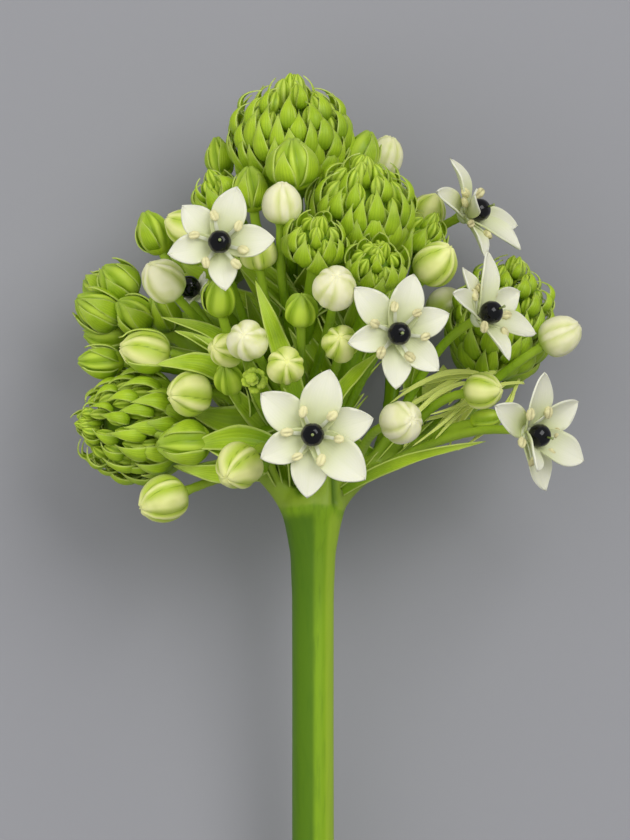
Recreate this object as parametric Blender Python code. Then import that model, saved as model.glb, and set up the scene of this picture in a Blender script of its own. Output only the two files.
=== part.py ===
"""An ornithogalum flower: a cut stem with its head of green bracts, buds and black-eyed blooms.

The flower is laid out in a frame of its own, in millimetres: x to the right, y up the stem from
the crown, where the stem divides, and z towards the side that carries most of the open blooms.
One empty lays it on its back, so that it rests on the cut end of the stem and on its two rear heads.
"""

import math
import random
from dataclasses import dataclass

import bmesh
import bpy
from mathutils import Matrix, Vector

MM = 0.001
GAP = 0.35
GOLDEN_ANGLE = math.radians(137.5)
UP = Vector((0, 1, 0))

# How the flower lies: turned back on its stem end and lifted until the lowest points touch z = 0.
TILT = math.radians(6.8)
REST_AT = (-3.3 * MM, 52.05 * MM, 28.25 * MM)

# The stem below the crown.
STEM_LENGTH = 200
STEM_RADIUS = 4.6
CROWN_WIDTH = 7.4
CROWN_DEPTH = 6.0
STEM_SIDES = 14

# Stalks. A branch is thicker the larger the head that it carries: a least radius and a share of the
# head's. A stalk leaves its carrier at a slant, and its ends run straight for a share of its reach.
PEDICEL_RADIUS = 1.1
PEDICEL_SIDES = 5
PEDICEL_SPREAD = 0.9
BRANCH_SIDES = 6
BRANCH_FOOT = (1.3, 0.12)
BRANCH_END = (0.5, 0.16)
STALK_STEPS = 3
CARRIER_PULL = 0.6
STRAIGHT_START = 0.33
STRAIGHT_END = 0.36
CUP_RADIUS = 1.7
CUP_HEIGHT = 1.2
CROWN_SPREAD = 2.2
CROWN_DEPTH_OF_ROOTS = 2

# Buds: how deep the six ribs are, how much narrower the tip end is, and how far a young bud sinks.
RIB_DEPTH = 0.06
TIP_TAPER = 0.14
BUD_SIDES = 12
BUD_RINGS = 4
YOUNG_BUD_SINK = 1.6

# Heads: the core's share of the full radius, and a bract's half width to its length.
CORE_SHARE = 0.73
CORE_SIDES = 7
BRACT_SLENDERNESS = 0.35

# Blooms.
TEPAL_LENGTH = 13.5
TEPAL_HALF_WIDTH = 4.3
TEPAL_THICKNESS = 0.8
RECEPTACLE_RADIUS = 2.5
RECEPTACLE_HEIGHT = 2.4
WHORL_HEIGHTS = (1.4, 0.45)
OVARY_RADIUS = 2.6
STAMEN_REACH = 6.2
STAMEN_TURN = 14


@dataclass(frozen=True)
class Root:
    """Where a stalk starts: the stalk that carries it, and how far along that one it leaves."""

    stalk: str
    share: float


@dataclass(frozen=True)
class Head:
    """A dense head of bracts round a smaller core."""

    name: str
    centre: tuple
    facing: tuple
    length: float
    radius: float
    bracts: int
    root: Root


@dataclass(frozen=True)
class Bud:
    """A closed bud with six ribs."""

    name: str
    centre: tuple
    facing: tuple
    radius: float
    length: float
    root: Root


@dataclass(frozen=True)
class Bloom:
    """An open bloom; each tepal is its angle round the facing, its length and its lift."""

    name: str
    base: tuple
    facing: tuple
    tepals: tuple
    root: Root


@dataclass(frozen=True)
class Bract:
    """A long loose bract on a branch: where it starts and ends, its width and the side it faces."""

    start: tuple
    end: tuple
    half_width: float
    facing: tuple


HEADS = (
    Head("head_top", (-4.8, 82.5, -3), (0, 0.99, 0.1), 26, 13.6, 38, Root("crown", 1)),
    Head("head_right_front", (10.8, 66.5, 11), (0.1, 0.9, 0.42), 23, 11.8, 30, Root("crown", 1)),
    Head("head_far_right", (43.6, 41.8, -10), (0.3, 0.92, -0.1), 28, 9.4, 25, Root("crown", 1)),
    Head("head_low_left", (-40.7, 17.6, 3), (-0.97, 0.1, 0.2), 25, 12.2, 30, Root("crown", 1)),
    Head("head_left", (-39, 44, -8), (-0.96, 0.15, 0.15), 29, 9.8, 24, Root("crown", 1)),
    Head("head_back_left", (-24, 57, -27.3), (-0.35, 0.6, -0.72), 18, 9, 19, Root("crown", 1)),
    Head("head_back_right", (14, 62, -28), (0.2, 0.7, -0.68), 18, 9, 19, Root("crown", 1)),
    Head("head_back_low", (-14, 26, -22), (-0.3, 0.2, -0.93), 13, 6, 12, Root("crown", 1)),
    Head("head_right_low", (23.6, 59, 0), (0.5, 0.8, 0.3), 14, 6.8, 15,
         Root("head_right_front", 0.45)),
    Head("head_front_mid", (14, 53, 26), (0.1, 0.65, 0.75), 13, 7.0, 14,
         Root("head_right_front", 0.35)),
    Head("head_front_left", (0.7, 58, 25), (0.05, 0.75, 0.65), 14, 7.0, 14,
         Root("head_top", 0.35)),
    Head("head_upper_left", (-21.3, 69.3, -2), (-0.45, 0.88, 0.1), 11, 5.4, 12,
         Root("head_top", 0.5)),
    Head("head_cluster", (-12.8, 27.5, 28), (0, 0.3, 0.95), 7, 3.4, 7, Root("head_top", 0.1)),
)

CREAM_BUDS = (
    Bud("bud_left_upper", (-33.1, 49.5, 15), (-0.55, 0.65, 0.5), 4.6, 10.6, Root("head_left", 0.4)),
    Bud("bud_top_front", (-6.9, 66.3, 24), (0.05, 0.95, 0.3), 4.3, 9.6, Root("head_top", 0.4)),
    Bud("bud_centre_cream", (4.8, 47.6, 38), (0.05, 0.5, 0.85), 4.7, 10, Root("head_top", 0.2)),
    Bud("bud_centre_green", (-2.6, 42.9, 30), (0, 0.8, 0.6), 3.7, 8.2, Root("head_top", 0.2)),
    Bud("bud_centre_low", (6, 35.5, 32), (0, 0.3, 0.95), 4, 8.6, Root("head_top", 0.12)),
    Bud("bud_pair_front", (-14.4, 36.1, 35), (-0.2, 0.25, 0.95), 4.4, 9, Root("head_top", 0.15)),
    Bud("bud_pair_back", (-19.2, 34.1, 26), (-0.6, 0.1, 0.75), 3.8, 8.4, Root("head_left", 0.2)),
    Bud("bud_ribbed", (-6, 30.6, 38), (0.05, 0.2, 0.97), 4.1, 8.6, Root("head_top", 0.08)),
    Bud("bud_left_mid", (-27.3, 24.5, 16), (-0.85, -0.1, 0.5), 5, 10, Root("head_low_left", 0.35)),
    Bud("bud_low_front", (-16.4, 8.4, 32), (-0.5, -0.5, 0.7), 5.1, 10.4, Root("head_low_left", 0.2)),
    Bud("bud_low_left", (-33.1, 1.1, 12), (-0.9, -0.35, 0.3), 5.1, 11.4, Root("head_low_left", 0.3)),
    Bud("bud_top_right", (16.1, 77.7, -11.5), (0.3, 0.93, 0.2), 3.9, 9.4, Root("head_top", 0.6)),
    Bud("bud_right_back", (25.5, 64.9, -12), (0.5, 0.85, 0.1), 4.2, 9.8, Root("head_far_right", 0.3)),
    Bud("bud_right_upper", (27.1, 53.2, 16), (0.6, 0.7, 0.4), 4.7, 10.6,
        Root("head_right_front", 0.3)),
    Bud("bud_far_right", (54.9, 37.4, 2), (0.85, 0.5, 0.1), 4.3, 10, Root("head_far_right", 0.6)),
    Bud("bud_right_mid", (37.6, 25.1, 14), (0.9, 0.1, 0.4), 4.1, 8.8, Root("head_far_right", 0.35)),
    Bud("bud_right_front", (19.4, 18.3, 36), (0.5, 0.1, 0.85), 4.6, 9.4, Root("head_far_right", 0.1)),
    Bud("bud_behind_bloom", (-12.1, 56.1, 20), (-0.1, 0.9, 0.4), 4.2, 9, Root("head_top", 0.3)),
    Bud("bud_upper_left", (-28.7, 61.4, 4), (-0.85, 0.5, 0.1), 4, 9, Root("head_upper_left", 0.6)),
    Bud("bud_wrapped", (-37.2, 34, 10), (-0.95, 0.1, 0.3), 4.5, 11.5, Root("head_left", 0.35)),
    Bud("bud_back_mid", (-4, 46, -26), (-0.1, 0.3, -0.95), 4.4, 9.6, Root("head_back_right", 0.4)),
    Bud("bud_back_right", (30, 44, -20), (0.5, 0.4, -0.77), 4.5, 9.8, Root("head_far_right", 0.4)),
    Bud("bud_back_top", (-4, 74, -20), (0, 0.8, -0.6), 4.2, 9.2, Root("head_top", 0.5)),
    Bud("bud_back_left", (-36, 36, -22), (-0.7, 0.2, -0.7), 4.4, 9.6, Root("head_left", 0.5)),
)

GREEN_BUDS = (
    Bud("under_bloom", (-20.5, 45.7, 18), (-0.1, 0.85, 0.5), 3.5, 8, Root("head_top", 0.3)),
    Bud("outer_left", (-35.4, 60.3, -2), (-0.4, 0.9, 0), 3.7, 9, Root("head_left", 0.35)),
    Bud("between_heads", (-47, 31.6, 2), (-0.97, 0.05, 0.1), 3.3, 9, Root("head_left", 0.4)),
    Bud("on_low_left", (-28.4, 13.6, 15), (-0.95, -0.1, 0.3), 4.6, 11, Root("head_low_left", 0.3)),
    Bud("top_side_right", (11, 78.1, -4), (0.3, 0.95, 0), 3.7, 9, Root("head_top", 0.7)),
    Bud("top_base_left", (-13.6, 69.7, 8), (-0.1, 0.95, 0.2), 3.9, 9, Root("head_top", 0.55)),
    Bud("top_base_front", (-4.5, 75, 15), (0, 0.97, 0.25), 5.1, 10.5, Root("head_top", 0.6)),
    Bud("top_side_left", (-20.7, 77.3, -10), (-0.2, 0.95, 0), 2.9, 8, Root("head_top", 0.6)),
    Bud("in_left", (-18.6, 27.9, 20), (-0.2, 0.6, 0.7), 3.2, 7, Root("head_left", 0.15)),
    Bud("behind_right_bloom", (38.3, 18.7, 8), (0.9, 0.2, 0.1), 2.6, 6, Root("head_far_right", 0.4)),
)

BLOOMS = (
    Bloom("upper_left", (-20.5, 57.1, 28), (0.02, 0.1, 1),
          ((72, 13.2, 12), (135, 11.9, 12), (194, 11.8, 10), (278, 10.8, 12), (3, 12.4, 12)),
          Root("head_left", 0.3)),
    Bloom("right", (17.8, 37.4, 36), (0.18, 0.02, 0.98),
          ((74, 13.9, 12), (132, 14.2, 12), (190, 11.6, 12), (269, 12.4, 12), (319, 12.3, 12),
           (22, 12.8, 12)), Root("head_right_front", 0.2)),
    Bloom("centre", (-0.1, 15.5, 42), (0, 0, 1),
          ((76, 14.9, 8), (141, 14.6, 8), (204, 12.6, 8), (265, 14, 8), (319, 15.3, 8),
           (16, 13.9, 8)), Root("head_top", 0.05)),
    Bloom("far_right_upper", (36.1, 41.6, 17), (0.75, 0.12, 0.65),
          ((96, 13.8, 13), (126, 12.8, 11), (164, 14.2, 11), (338, 14.2, 17), (298, 12, 13),
           (20, 14.3, 9)), Root("head_far_right", 0.25)),
    Bloom("far_right_low", (46.6, 16, 18), (0.66, -0.08, 0.75),
          ((90, 14.1, 11), (154, 15, 13), (32, 14.4, 15), (338, 14.8, 19), (280, 13.1, 17),
           (232, 12, 36)), Root("head_far_right", 0.12)),
    Bloom("top_right", (33.5, 62.5, -6), (0.85, 0.42, 0.32),
          ((94, 14.8, 11), (152, 14, 1), (200, 11, 28), (236, 14.6, 14), (312, 14.7, 24),
           (350, 14.6, 26)), Root("head_far_right", 0.3)),
    Bloom("half_hidden", (-23.5, 46, 3), (-0.75, 0.4, 0.5),
          ((30, 8.6, 31), (90, 8.2, 31), (150, 8.6, 31), (210, 8.2, 31), (270, 8.6, 31),
           (330, 8.2, 31)), Root("head_left", 0.3)),
    Bloom("back_right", (12, 36, -19), (0.15, -0.1, -0.98),
          ((20, 12.6, 12), (80, 12.9, 10), (140, 12.6, 12), (200, 12.4, 12), (260, 12.9, 10),
           (320, 12.6, 12)), Root("head_back_right", 0.35)),
    Bloom("back_left", (-33, 17, -18), (-0.4, -0.1, -0.9),
          ((0, 12.2, 14), (60, 12.6, 12), (120, 12.2, 14), (180, 12, 12), (240, 12.6, 14),
           (300, 12.2, 12)), Root("head_low_left", 0.4)),
)

BRACTS = (
    Bract((-3, 22, 22), (-12.6, 49.3, 25), 2.3, (0.1, 0, 1)),
    Bract((7, 3, 5), (37.8, 13.7, 16), 1.2, (0.2, 1, 0.3)),
    Bract((-14, 24, 12), (-36, 39.5, 17), 2.6, (0.2, 0.6, 0.7)),
    Bract((3, 20, 27), (14.5, 33.7, 28), 1.9, (-0.3, 0.5, 0.8)),
)


def facing_matrix(place, facing):
    """A frame whose z is the facing, with y as near up the stem as it goes."""
    forward = Vector(facing).normalized()
    across = UP.cross(forward).normalized()
    above = forward.cross(across)
    turned = Matrix((across, above, forward)).transposed().to_4x4()
    return Matrix.Translation(Vector(place)) @ turned


def add_ring(bm, centre, across, over, sides):
    """One oval ring of vertices; its first vertex lies along over."""
    spread = Matrix((across, over, across.cross(over).normalized())).transposed().to_4x4()
    made = bmesh.ops.create_circle(
        bm, segments=sides, radius=1, matrix=Matrix.Translation(centre) @ spread
    )
    return made["verts"]


def ring_edges(ring):
    return list({edge for vert in ring for edge in vert.link_edges})


def add_loft(bm, sections, sides, pointed=False):
    """A closed tube through sections of (centre, across, over), ending in a cap or in a point."""
    rings = [add_ring(bm, *section, sides) for section in sections]
    loops = [ring_edges(ring) for ring in rings]
    for lower, upper in zip(loops, loops[1:]):
        bmesh.ops.bridge_loops(bm, edges=lower + upper)
    bmesh.ops.contextual_create(bm, geom=loops[0])
    if pointed:
        bmesh.ops.pointmerge(bm, verts=rings[-1], merge_co=sections[-1][0])
    else:
        bmesh.ops.contextual_create(bm, geom=loops[-1])


def mesh_object(name, bm):
    """Closes a bmesh into an object, with its faces pointing out."""
    bmesh.ops.recalc_face_normals(bm, faces=bm.faces)
    mesh = bpy.data.meshes.new(name)
    bm.to_mesh(mesh)
    bm.free()
    obj = bpy.data.objects.new(name, mesh)
    bpy.context.scene.collection.objects.link(obj)
    return obj


def lofted(name, sections, sides, pointed=False):
    bm = bmesh.new()
    add_loft(bm, sections, sides, pointed)
    return mesh_object(name, bm)


def main_shell(mesh):
    """Drops what the union cut loose or sealed in: every shell but the one with the most faces."""
    bm = bmesh.new()
    bm.from_mesh(mesh)
    shells = []
    left = set(bm.faces)
    while left:
        shell = {left.pop()}
        edge_of_shell = list(shell)
        while edge_of_shell:
            face = edge_of_shell.pop()
            near = {other for edge in face.edges for other in edge.link_faces} & left
            left -= near
            shell |= near
            edge_of_shell.extend(near)
        shells.append(shell)
    largest = max(shells, key=len)
    stray = [face for shell in shells if shell is not largest for face in shell]
    bmesh.ops.delete(bm, geom=stray, context="FACES")
    bm.to_mesh(mesh)
    bm.free()
    return mesh


def fuse(body, pieces):
    """Joins the pieces to the body by one Boolean union, and removes them."""
    group = bpy.data.collections.new(body.name + "_pieces")
    for piece in pieces:
        group.objects.link(piece)
    union = body.modifiers.new("union", "BOOLEAN")
    union.operation = "UNION"
    union.operand_type = "COLLECTION"
    union.collection = group
    bpy.context.view_layer.update()
    graph = bpy.context.evaluated_depsgraph_get()
    joined = bpy.data.meshes.new_from_object(body.evaluated_get(graph))
    body.modifiers.clear()
    body.data = main_shell(joined)
    for piece in pieces:
        bpy.data.objects.remove(piece)
    bpy.data.collections.remove(group)
    return body


def curve_point(path, share):
    """A point of a cubic Bezier path."""
    a, b, c, d = path
    rest = 1 - share
    return (
        a * rest**3 + b * (3 * rest**2 * share) + c * (3 * rest * share**2) + d * share**3
    )


def curve_heading(path, share):
    a, b, c, d = path
    rest = 1 - share
    return ((b - a) * rest**2 + (c - b) * (2 * rest * share) + (d - c) * share**2).normalized()


def stalk_path(start, leaving, end, facing):
    """A stalk that leaves its carrier smoothly and meets its organ square on."""
    reach = (end - start).length
    away = (leaving * CARRIER_PULL + (end - start).normalized()).normalized()
    return (
        start,
        start + away * (STRAIGHT_START * reach),
        end - facing * (STRAIGHT_END * reach),
        end,
    )


def stalk_sections(path, radius_from, radius_to, cup=0.0):
    """Round rings along a stalk, the last one widened to the cup that carries its organ."""
    side = (path[3] - path[0]).cross(Vector((0.3, 0.2, 1))).normalized()
    sections = []
    for step in range(STALK_STEPS + 1):
        share = step / STALK_STEPS
        heading = curve_heading(path, share)
        across = (side - heading * side.dot(heading)).normalized()
        over = heading.cross(across)
        radius = radius_from + (radius_to - radius_from) * share
        sections.append((curve_point(path, share), across * radius, over * radius))
    if cup:
        centre, across, over = sections[-1]
        heading = curve_heading(path, 1)
        sections[-1] = (centre - heading * CUP_HEIGHT, across, over)
        sections.append((centre, across.normalized() * cup, over.normalized() * cup))
    return sections


def organ_base(organ):
    """Where an organ's stalk ends, a touch short of it, and the way it faces."""
    facing = Vector(organ.facing).normalized()
    if isinstance(organ, Bloom):
        return Vector(organ.base) - facing * GAP, facing
    return Vector(organ.centre) - facing * (organ.length / 2 + GAP), facing


def all_paths():
    """Every stalk's path by its organ's name, each one rooted on a path found before it."""
    paths = {}
    for organ in HEADS + BLOOMS + CREAM_BUDS + GREEN_BUDS:
        end, facing = organ_base(organ)
        if organ.root.stalk == "crown":
            outward = Vector((end.x, 0, end.z)).normalized()
            start = outward * CROWN_SPREAD - UP * CROWN_DEPTH_OF_ROOTS
            leaving = UP
        else:
            carrier = paths[organ.root.stalk]
            start = curve_point(carrier, organ.root.share)
            leaving = curve_heading(carrier, organ.root.share)
        paths[organ.name] = stalk_path(start, leaving, end, facing)
    return paths


def stem_body():
    """The stalk from its cut end to the crown, where it widens into its branches."""
    profile = (
        (-STEM_LENGTH, STEM_RADIUS, STEM_RADIUS),
        (-STEM_LENGTH * 0.5, STEM_RADIUS * 1.02, STEM_RADIUS * 1.02),
        (-16, STEM_RADIUS * 1.03, STEM_RADIUS * 1.03),
        (-6, STEM_RADIUS * 1.22, STEM_RADIUS * 1.15),
        (0, CROWN_WIDTH, CROWN_DEPTH),
        (6, CROWN_WIDTH * 0.95, CROWN_DEPTH * 0.95),
        (11, CROWN_WIDTH * 0.5, CROWN_DEPTH * 0.5),
    )
    sections = [
        (Vector((0, height, 0)), Vector((width, 0, 0)), Vector((0, 0, depth)))
        for height, width, depth in profile
    ]
    return lofted("scape", sections, STEM_SIDES)


def loose_bract(bract):
    """A long thin leaf with a keel, rising from a branch."""
    start, end = Vector(bract.start), Vector(bract.end)
    along = end - start
    over = Vector(bract.facing)
    over = (over - along * over.dot(along) / along.length_squared).normalized()
    across = along.cross(over).normalized()
    sections = []
    for share, width, bow in ((0, 0.8, 0), (0.3, 1, 0.07), (0.7, 0.75, 0.06), (1, 0.1, 0)):
        centre = start + along * share + over * (bow * along.length)
        sections.append((centre, across * (bract.half_width * width), over * 0.45))
    return lofted("bract", sections, 4, pointed=True)


def ribbed_body(length, radius):
    """A six-ribbed egg round z, its middle at the origin; the ribs fade at its ends."""
    bm = bmesh.new()
    bmesh.ops.create_uvsphere(bm, u_segments=BUD_SIDES, v_segments=BUD_RINGS, radius=1)
    for vert in bm.verts:
        height = vert.co.z
        turn = math.atan2(vert.co.y, vert.co.x)
        rib = 1 + RIB_DEPTH * math.cos(6 * turn) * (1 - height**2)
        taper = 1 - TIP_TAPER * height
        vert.co.x *= radius * rib * taper
        vert.co.y *= radius * rib * taper
        vert.co.z *= length / 2
    return bm


def make_bud(bud, frame, material):
    body = mesh_object(bud.name, ribbed_body(bud.length, bud.radius))
    return settle(body, facing_matrix(bud.centre, bud.facing), frame, material)


def green_bud(bud):
    """A young bud, placed so that it sinks onto its stalk."""
    body = mesh_object(bud.name, ribbed_body(bud.length + YOUNG_BUD_SINK, bud.radius))
    body.data.transform(facing_matrix(bud.centre, bud.facing))
    return body


def head_radius(share):
    """How full a head is at a share of its height, from 0 to 1."""
    return math.sin(math.pi * share**0.75) ** 0.7 if 0 < share < 1 else 0.0


def head_core(head):
    """The smaller core that the bracts stand on, from a flat base up."""
    core_radius = head.radius * CORE_SHARE
    sections = []
    for share in (0.0, 0.18, 0.42, 0.68, 0.9):
        radius = core_radius * max(head_radius(share), 0.42)
        centre = Vector((0, 0, head.length * (share * 0.92 - 0.5)))
        sections.append((centre, Vector((radius, 0, 0)), Vector((0, radius, 0))))
    return lofted(head.name, sections, CORE_SIDES)


def head_point(head, turn, height, depth):
    """A point of a head at a turn and a share of its height, at a share of its full radius."""
    out = head.radius * depth * max(head_radius(height), 0.08)
    rise = head.length * (height - 0.5)
    return Vector((out * math.cos(turn), out * math.sin(turn), rise))


def head_bract(head, index, draw):
    """One keeled bract, lying along the head from its sunk root to its pointed tip."""
    share = index / (head.bracts - 1)
    turn = index * GOLDEN_ANGLE
    length = (0.4 - 0.18 * share) * draw.uniform(0.94, 1.06)
    height = 0.03 + 0.82 * share**1.1
    root = head_point(head, turn, height, 0.66)
    belly = head_point(head, turn, height + 0.42 * length, 0.86)
    tip = head_point(head, turn, min(height + length, 0.985), 0.94)
    across = Vector((-math.sin(turn), math.cos(turn), 0))
    out = across.cross(tip - root).normalized()
    half_width = BRACT_SLENDERNESS * head.length * length
    sections = (
        (root, across * (0.7 * half_width), out * 0.9),
        (belly, across * half_width, out * 1.4),
        (tip, across * 0.1, out * 0.1),
    )
    return lofted("bract", sections, 3, pointed=True)


def make_head(head, frame, material):
    draw = random.Random(head.name)
    bracts = [head_bract(head, index, draw) for index in range(head.bracts)]
    body = fuse(head_core(head), bracts)
    return settle(body, facing_matrix(head.centre, head.facing), frame, material)


def tepal(angle, length, lift):
    """One white tepal: widest past its middle, pointed, its edges a little raised."""
    turn = math.radians(angle)
    rise = math.radians(lift)
    outward = Vector((math.cos(turn), math.sin(turn), 0))
    across = Vector((-math.sin(turn), math.cos(turn), 0))
    scale = length / TEPAL_LENGTH
    sections = []
    for share, width, lean in (
        (0.06, 0.34, 0.0), (0.36, 0.84, 0.35), (0.68, 0.95, 0.2), (1, 0.05, -0.2)
    ):
        along = length * share
        centre = outward * (along * math.cos(rise))
        centre.z = along * math.sin(rise) + lean
        half_width = TEPAL_HALF_WIDTH * scale * width
        sections.append((centre, across * half_width, Vector((0, 0, TEPAL_THICKNESS / 2))))
    return lofted("tepal", sections, 4, pointed=True)


def stamen(angle):
    """A flat white filament beside the ovary, with its anther at the end."""
    turn = math.radians(angle)
    outward = Vector((math.cos(turn), math.sin(turn), 0))
    across = Vector((-math.sin(turn), math.cos(turn), 0))
    over = Vector((0, 0, 1))
    sections = []
    for reach, height, width, thickness in (
        (1.7, -0.5, 0.5, 0.4), (STAMEN_REACH * 0.88, 2.3, 0.9, 0.85),
        (STAMEN_REACH * 1.18, 2.9, 0.1, 0.1),
    ):
        centre = outward * reach + over * height
        sections.append((centre, across * width, over * thickness))
    return lofted("stamen", sections, 3, pointed=True)


def make_perianth(bloom, frame, material):
    """The white part of a bloom: its tepals and stamens on the receptacle."""
    sections = [
        (Vector((0, 0, height)), Vector((radius, 0, 0)), Vector((0, radius, 0)))
        for height, radius in ((0, CUP_RADIUS), (RECEPTACLE_HEIGHT, RECEPTACLE_RADIUS))
    ]
    body = lofted("perianth_" + bloom.name, sections, 6)
    pieces = []
    for index, entry in enumerate(bloom.tepals):
        blade = tepal(*entry)
        blade.data.transform(Matrix.Translation((0, 0, WHORL_HEIGHTS[index % 2])))
        filament = stamen(entry[0] + STAMEN_TURN)
        filament.data.transform(Matrix.Translation((0, 0, RECEPTACLE_HEIGHT)))
        pieces.extend((blade, filament))
    fuse(body, pieces)
    return settle(body, facing_matrix(bloom.base, bloom.facing), frame, material)


def make_ovary(bloom, frame, material):
    """The black ovary, a ball with its short style on top, clear of the receptacle."""
    bm = bmesh.new()
    bmesh.ops.create_uvsphere(bm, u_segments=8, v_segments=5, radius=OVARY_RADIUS)
    body = mesh_object("ovary_" + bloom.name, bm)
    sections = [
        (Vector((0, 0, height)), Vector((radius, 0, 0)), Vector((0, radius, 0)))
        for height, radius in ((OVARY_RADIUS - 0.6, 0.5), (OVARY_RADIUS + 1.4, 0.4))
    ]
    fuse(body, [lofted("style", sections, 4)])
    body.data.transform(Matrix.Translation((0, 0, RECEPTACLE_HEIGHT + GAP + OVARY_RADIUS)))
    return settle(body, facing_matrix(bloom.base, bloom.facing), frame, material)


def settle(body, place, frame, material):
    """Gives a piece its material and puts it in its place, in metres, under the frame."""
    body.data.transform(Matrix.Scale(MM, 4))
    body.data.materials.clear()
    body.data.materials.append(material)
    body.data.shade_smooth()
    body.data.set_sharp_from_angle(angle=math.radians(50))
    body.parent = frame
    body.rotation_euler = place.to_euler()
    body.location = place.translation * MM
    return body


def make_branch(head, path):
    """The branch of a head, thicker under a larger head."""
    foot = BRANCH_FOOT[0] + BRANCH_FOOT[1] * head.radius
    end = BRANCH_END[0] + BRANCH_END[1] * head.radius
    return lofted("branch", stalk_sections(path, foot, end), BRANCH_SIDES)


def make_pedicel(path, cup=0.0):
    """The thin stalk of one bloom or bud."""
    end = PEDICEL_RADIUS if not cup else PEDICEL_RADIUS * PEDICEL_SPREAD
    return lofted("pedicel", stalk_sections(path, PEDICEL_RADIUS, end, cup), PEDICEL_SIDES)


def make_scape(frame, material):
    """The green body: stalk, branches, pedicels, young buds and loose bracts in one."""
    paths = all_paths()
    pieces = [loose_bract(bract) for bract in BRACTS]
    pieces += [make_branch(head, paths[head.name]) for head in HEADS]
    pieces += [make_pedicel(paths[organ.name], CUP_RADIUS) for organ in BLOOMS + CREAM_BUDS]
    for bud in GREEN_BUDS:
        pieces += [make_pedicel(paths[bud.name]), green_bud(bud)]
    body = fuse(stem_body(), pieces)
    return settle(body, Matrix.Identity(4), frame, material)


def make_material(name, colour, roughness):
    material = bpy.data.materials.new(name)
    material.use_nodes = True
    shader = material.node_tree.nodes["Principled BSDF"]
    shader.inputs["Base Color"].default_value = (*colour, 1)
    shader.inputs["Roughness"].default_value = roughness
    shader.inputs["Metallic"].default_value = 0
    return material


def main():
    for obj in list(bpy.data.objects):
        bpy.data.objects.remove(obj)
    frame = bpy.data.objects.new("lying_flower", None)
    bpy.context.scene.collection.objects.link(frame)
    frame.rotation_euler = (TILT, 0, 0)
    frame.location = REST_AT
    stem_green = make_material("stem_green", (0.16, 0.34, 0.03), 0.45)
    bract_green = make_material("bract_green", (0.28, 0.5, 0.05), 0.5)
    tepal_white = make_material("tepal_white", (0.85, 0.87, 0.78), 0.5)
    bud_cream = make_material("bud_cream", (0.75, 0.8, 0.5), 0.45)
    ovary_black = make_material("ovary_black", (0.01, 0.01, 0.012), 0.12)
    make_scape(frame, stem_green)
    for head in HEADS:
        make_head(head, frame, bract_green)
    for bud in CREAM_BUDS:
        make_bud(bud, frame, bud_cream)
    for bloom in BLOOMS:
        make_perianth(bloom, frame, tepal_white)
        make_ovary(bloom, frame, ovary_black)


main()
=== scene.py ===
"""A cut ornithogalum flower, lying on its back, dressed in its living tissues.

Every organ is laid out in the flower's own frame, in millimetres: x to the right, y up the stem from the
crown, where the stem divides, and z towards the side of the open blooms. LYING turns that frame to the
way the flower lies on the floor.
"""

import logging
import math
from dataclasses import dataclass
from enum import Enum
from random import Random
from typing import Callable

import bmesh
import bpy
from mathutils import Euler, Matrix, Vector, kdtree, noise


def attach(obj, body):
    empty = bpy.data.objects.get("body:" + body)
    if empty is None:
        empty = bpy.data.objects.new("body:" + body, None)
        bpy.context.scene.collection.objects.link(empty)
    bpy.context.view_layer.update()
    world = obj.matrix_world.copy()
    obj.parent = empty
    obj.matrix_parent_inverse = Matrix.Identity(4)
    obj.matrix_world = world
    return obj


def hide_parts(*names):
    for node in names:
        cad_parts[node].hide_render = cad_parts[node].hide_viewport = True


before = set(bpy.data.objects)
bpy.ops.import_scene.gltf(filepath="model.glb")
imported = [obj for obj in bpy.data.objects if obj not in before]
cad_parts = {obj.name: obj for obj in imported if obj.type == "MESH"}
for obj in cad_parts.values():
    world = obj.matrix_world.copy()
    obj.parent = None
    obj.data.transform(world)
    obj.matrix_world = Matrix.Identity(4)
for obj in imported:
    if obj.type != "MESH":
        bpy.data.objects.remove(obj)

Socket = bpy.types.NodeSocket
Material = bpy.types.Material
Object = bpy.types.Object
# Takes a point of the unit sphere to its place and its nearness to a seam, from 0 to 1.
Shape = Callable[[Vector], tuple[Vector, float]]
# Takes a place across a blade, from -1 to 1, and along it, from 0 to 1, to a point.
Sheet = Callable[[float, float], Vector]

LOG = logging.getLogger("flower")
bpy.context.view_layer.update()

MM = 0.001
EDGE_ANGLE = math.radians(60)
GOLDEN_ANGLE = math.radians(137.5)
UP = Vector((0, 1, 0))
TILT = math.radians(6.8)
REST_AT = Vector((-3.3, 52.05, 28.25))
LYING = Matrix.Scale(MM, 4) @ Matrix.Translation(REST_AT) @ Matrix.Rotation(TILT, 4, "X")

# Shared sizes of the kind, in millimetres.
SINK = 0.45  # how far a pedicel's end reaches into its organ
HEAD_SINK = 2.0  # how far a branch's end reaches into its head
SEAT_GAP = 0.35  # the room under an ovary
PEDICEL_RADIUS = 1.22
CUP_RADIUS = 1.55
RECEPTACLE_RADIUS = 2.3
RECEPTACLE_HEIGHT = 2.4
WHORL_HEIGHTS = (1.4, 0.45)  # of the outer and the inner tepals on the receptacle
TEPAL_LENGTH = 13.5
TEPAL_HALF_WIDTH = 4.3
BRACT_THICKNESS = 0.28
OVARY_RADIUS = 2.6
STAMEN_REACH = 5.7
YOUNG_BUD_SINK = 1.6  # the part of a young bud that is sunk in its stalk
QUARTER_TURN = math.pi / 2


class Tone(Enum):
    """How ripe a bud is: its value runs from 0, white and ready to open, to 1, young and green."""

    WHITE = 0.0
    CREAM = 0.28
    PALE = 0.6
    GREEN = 1.0


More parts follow.
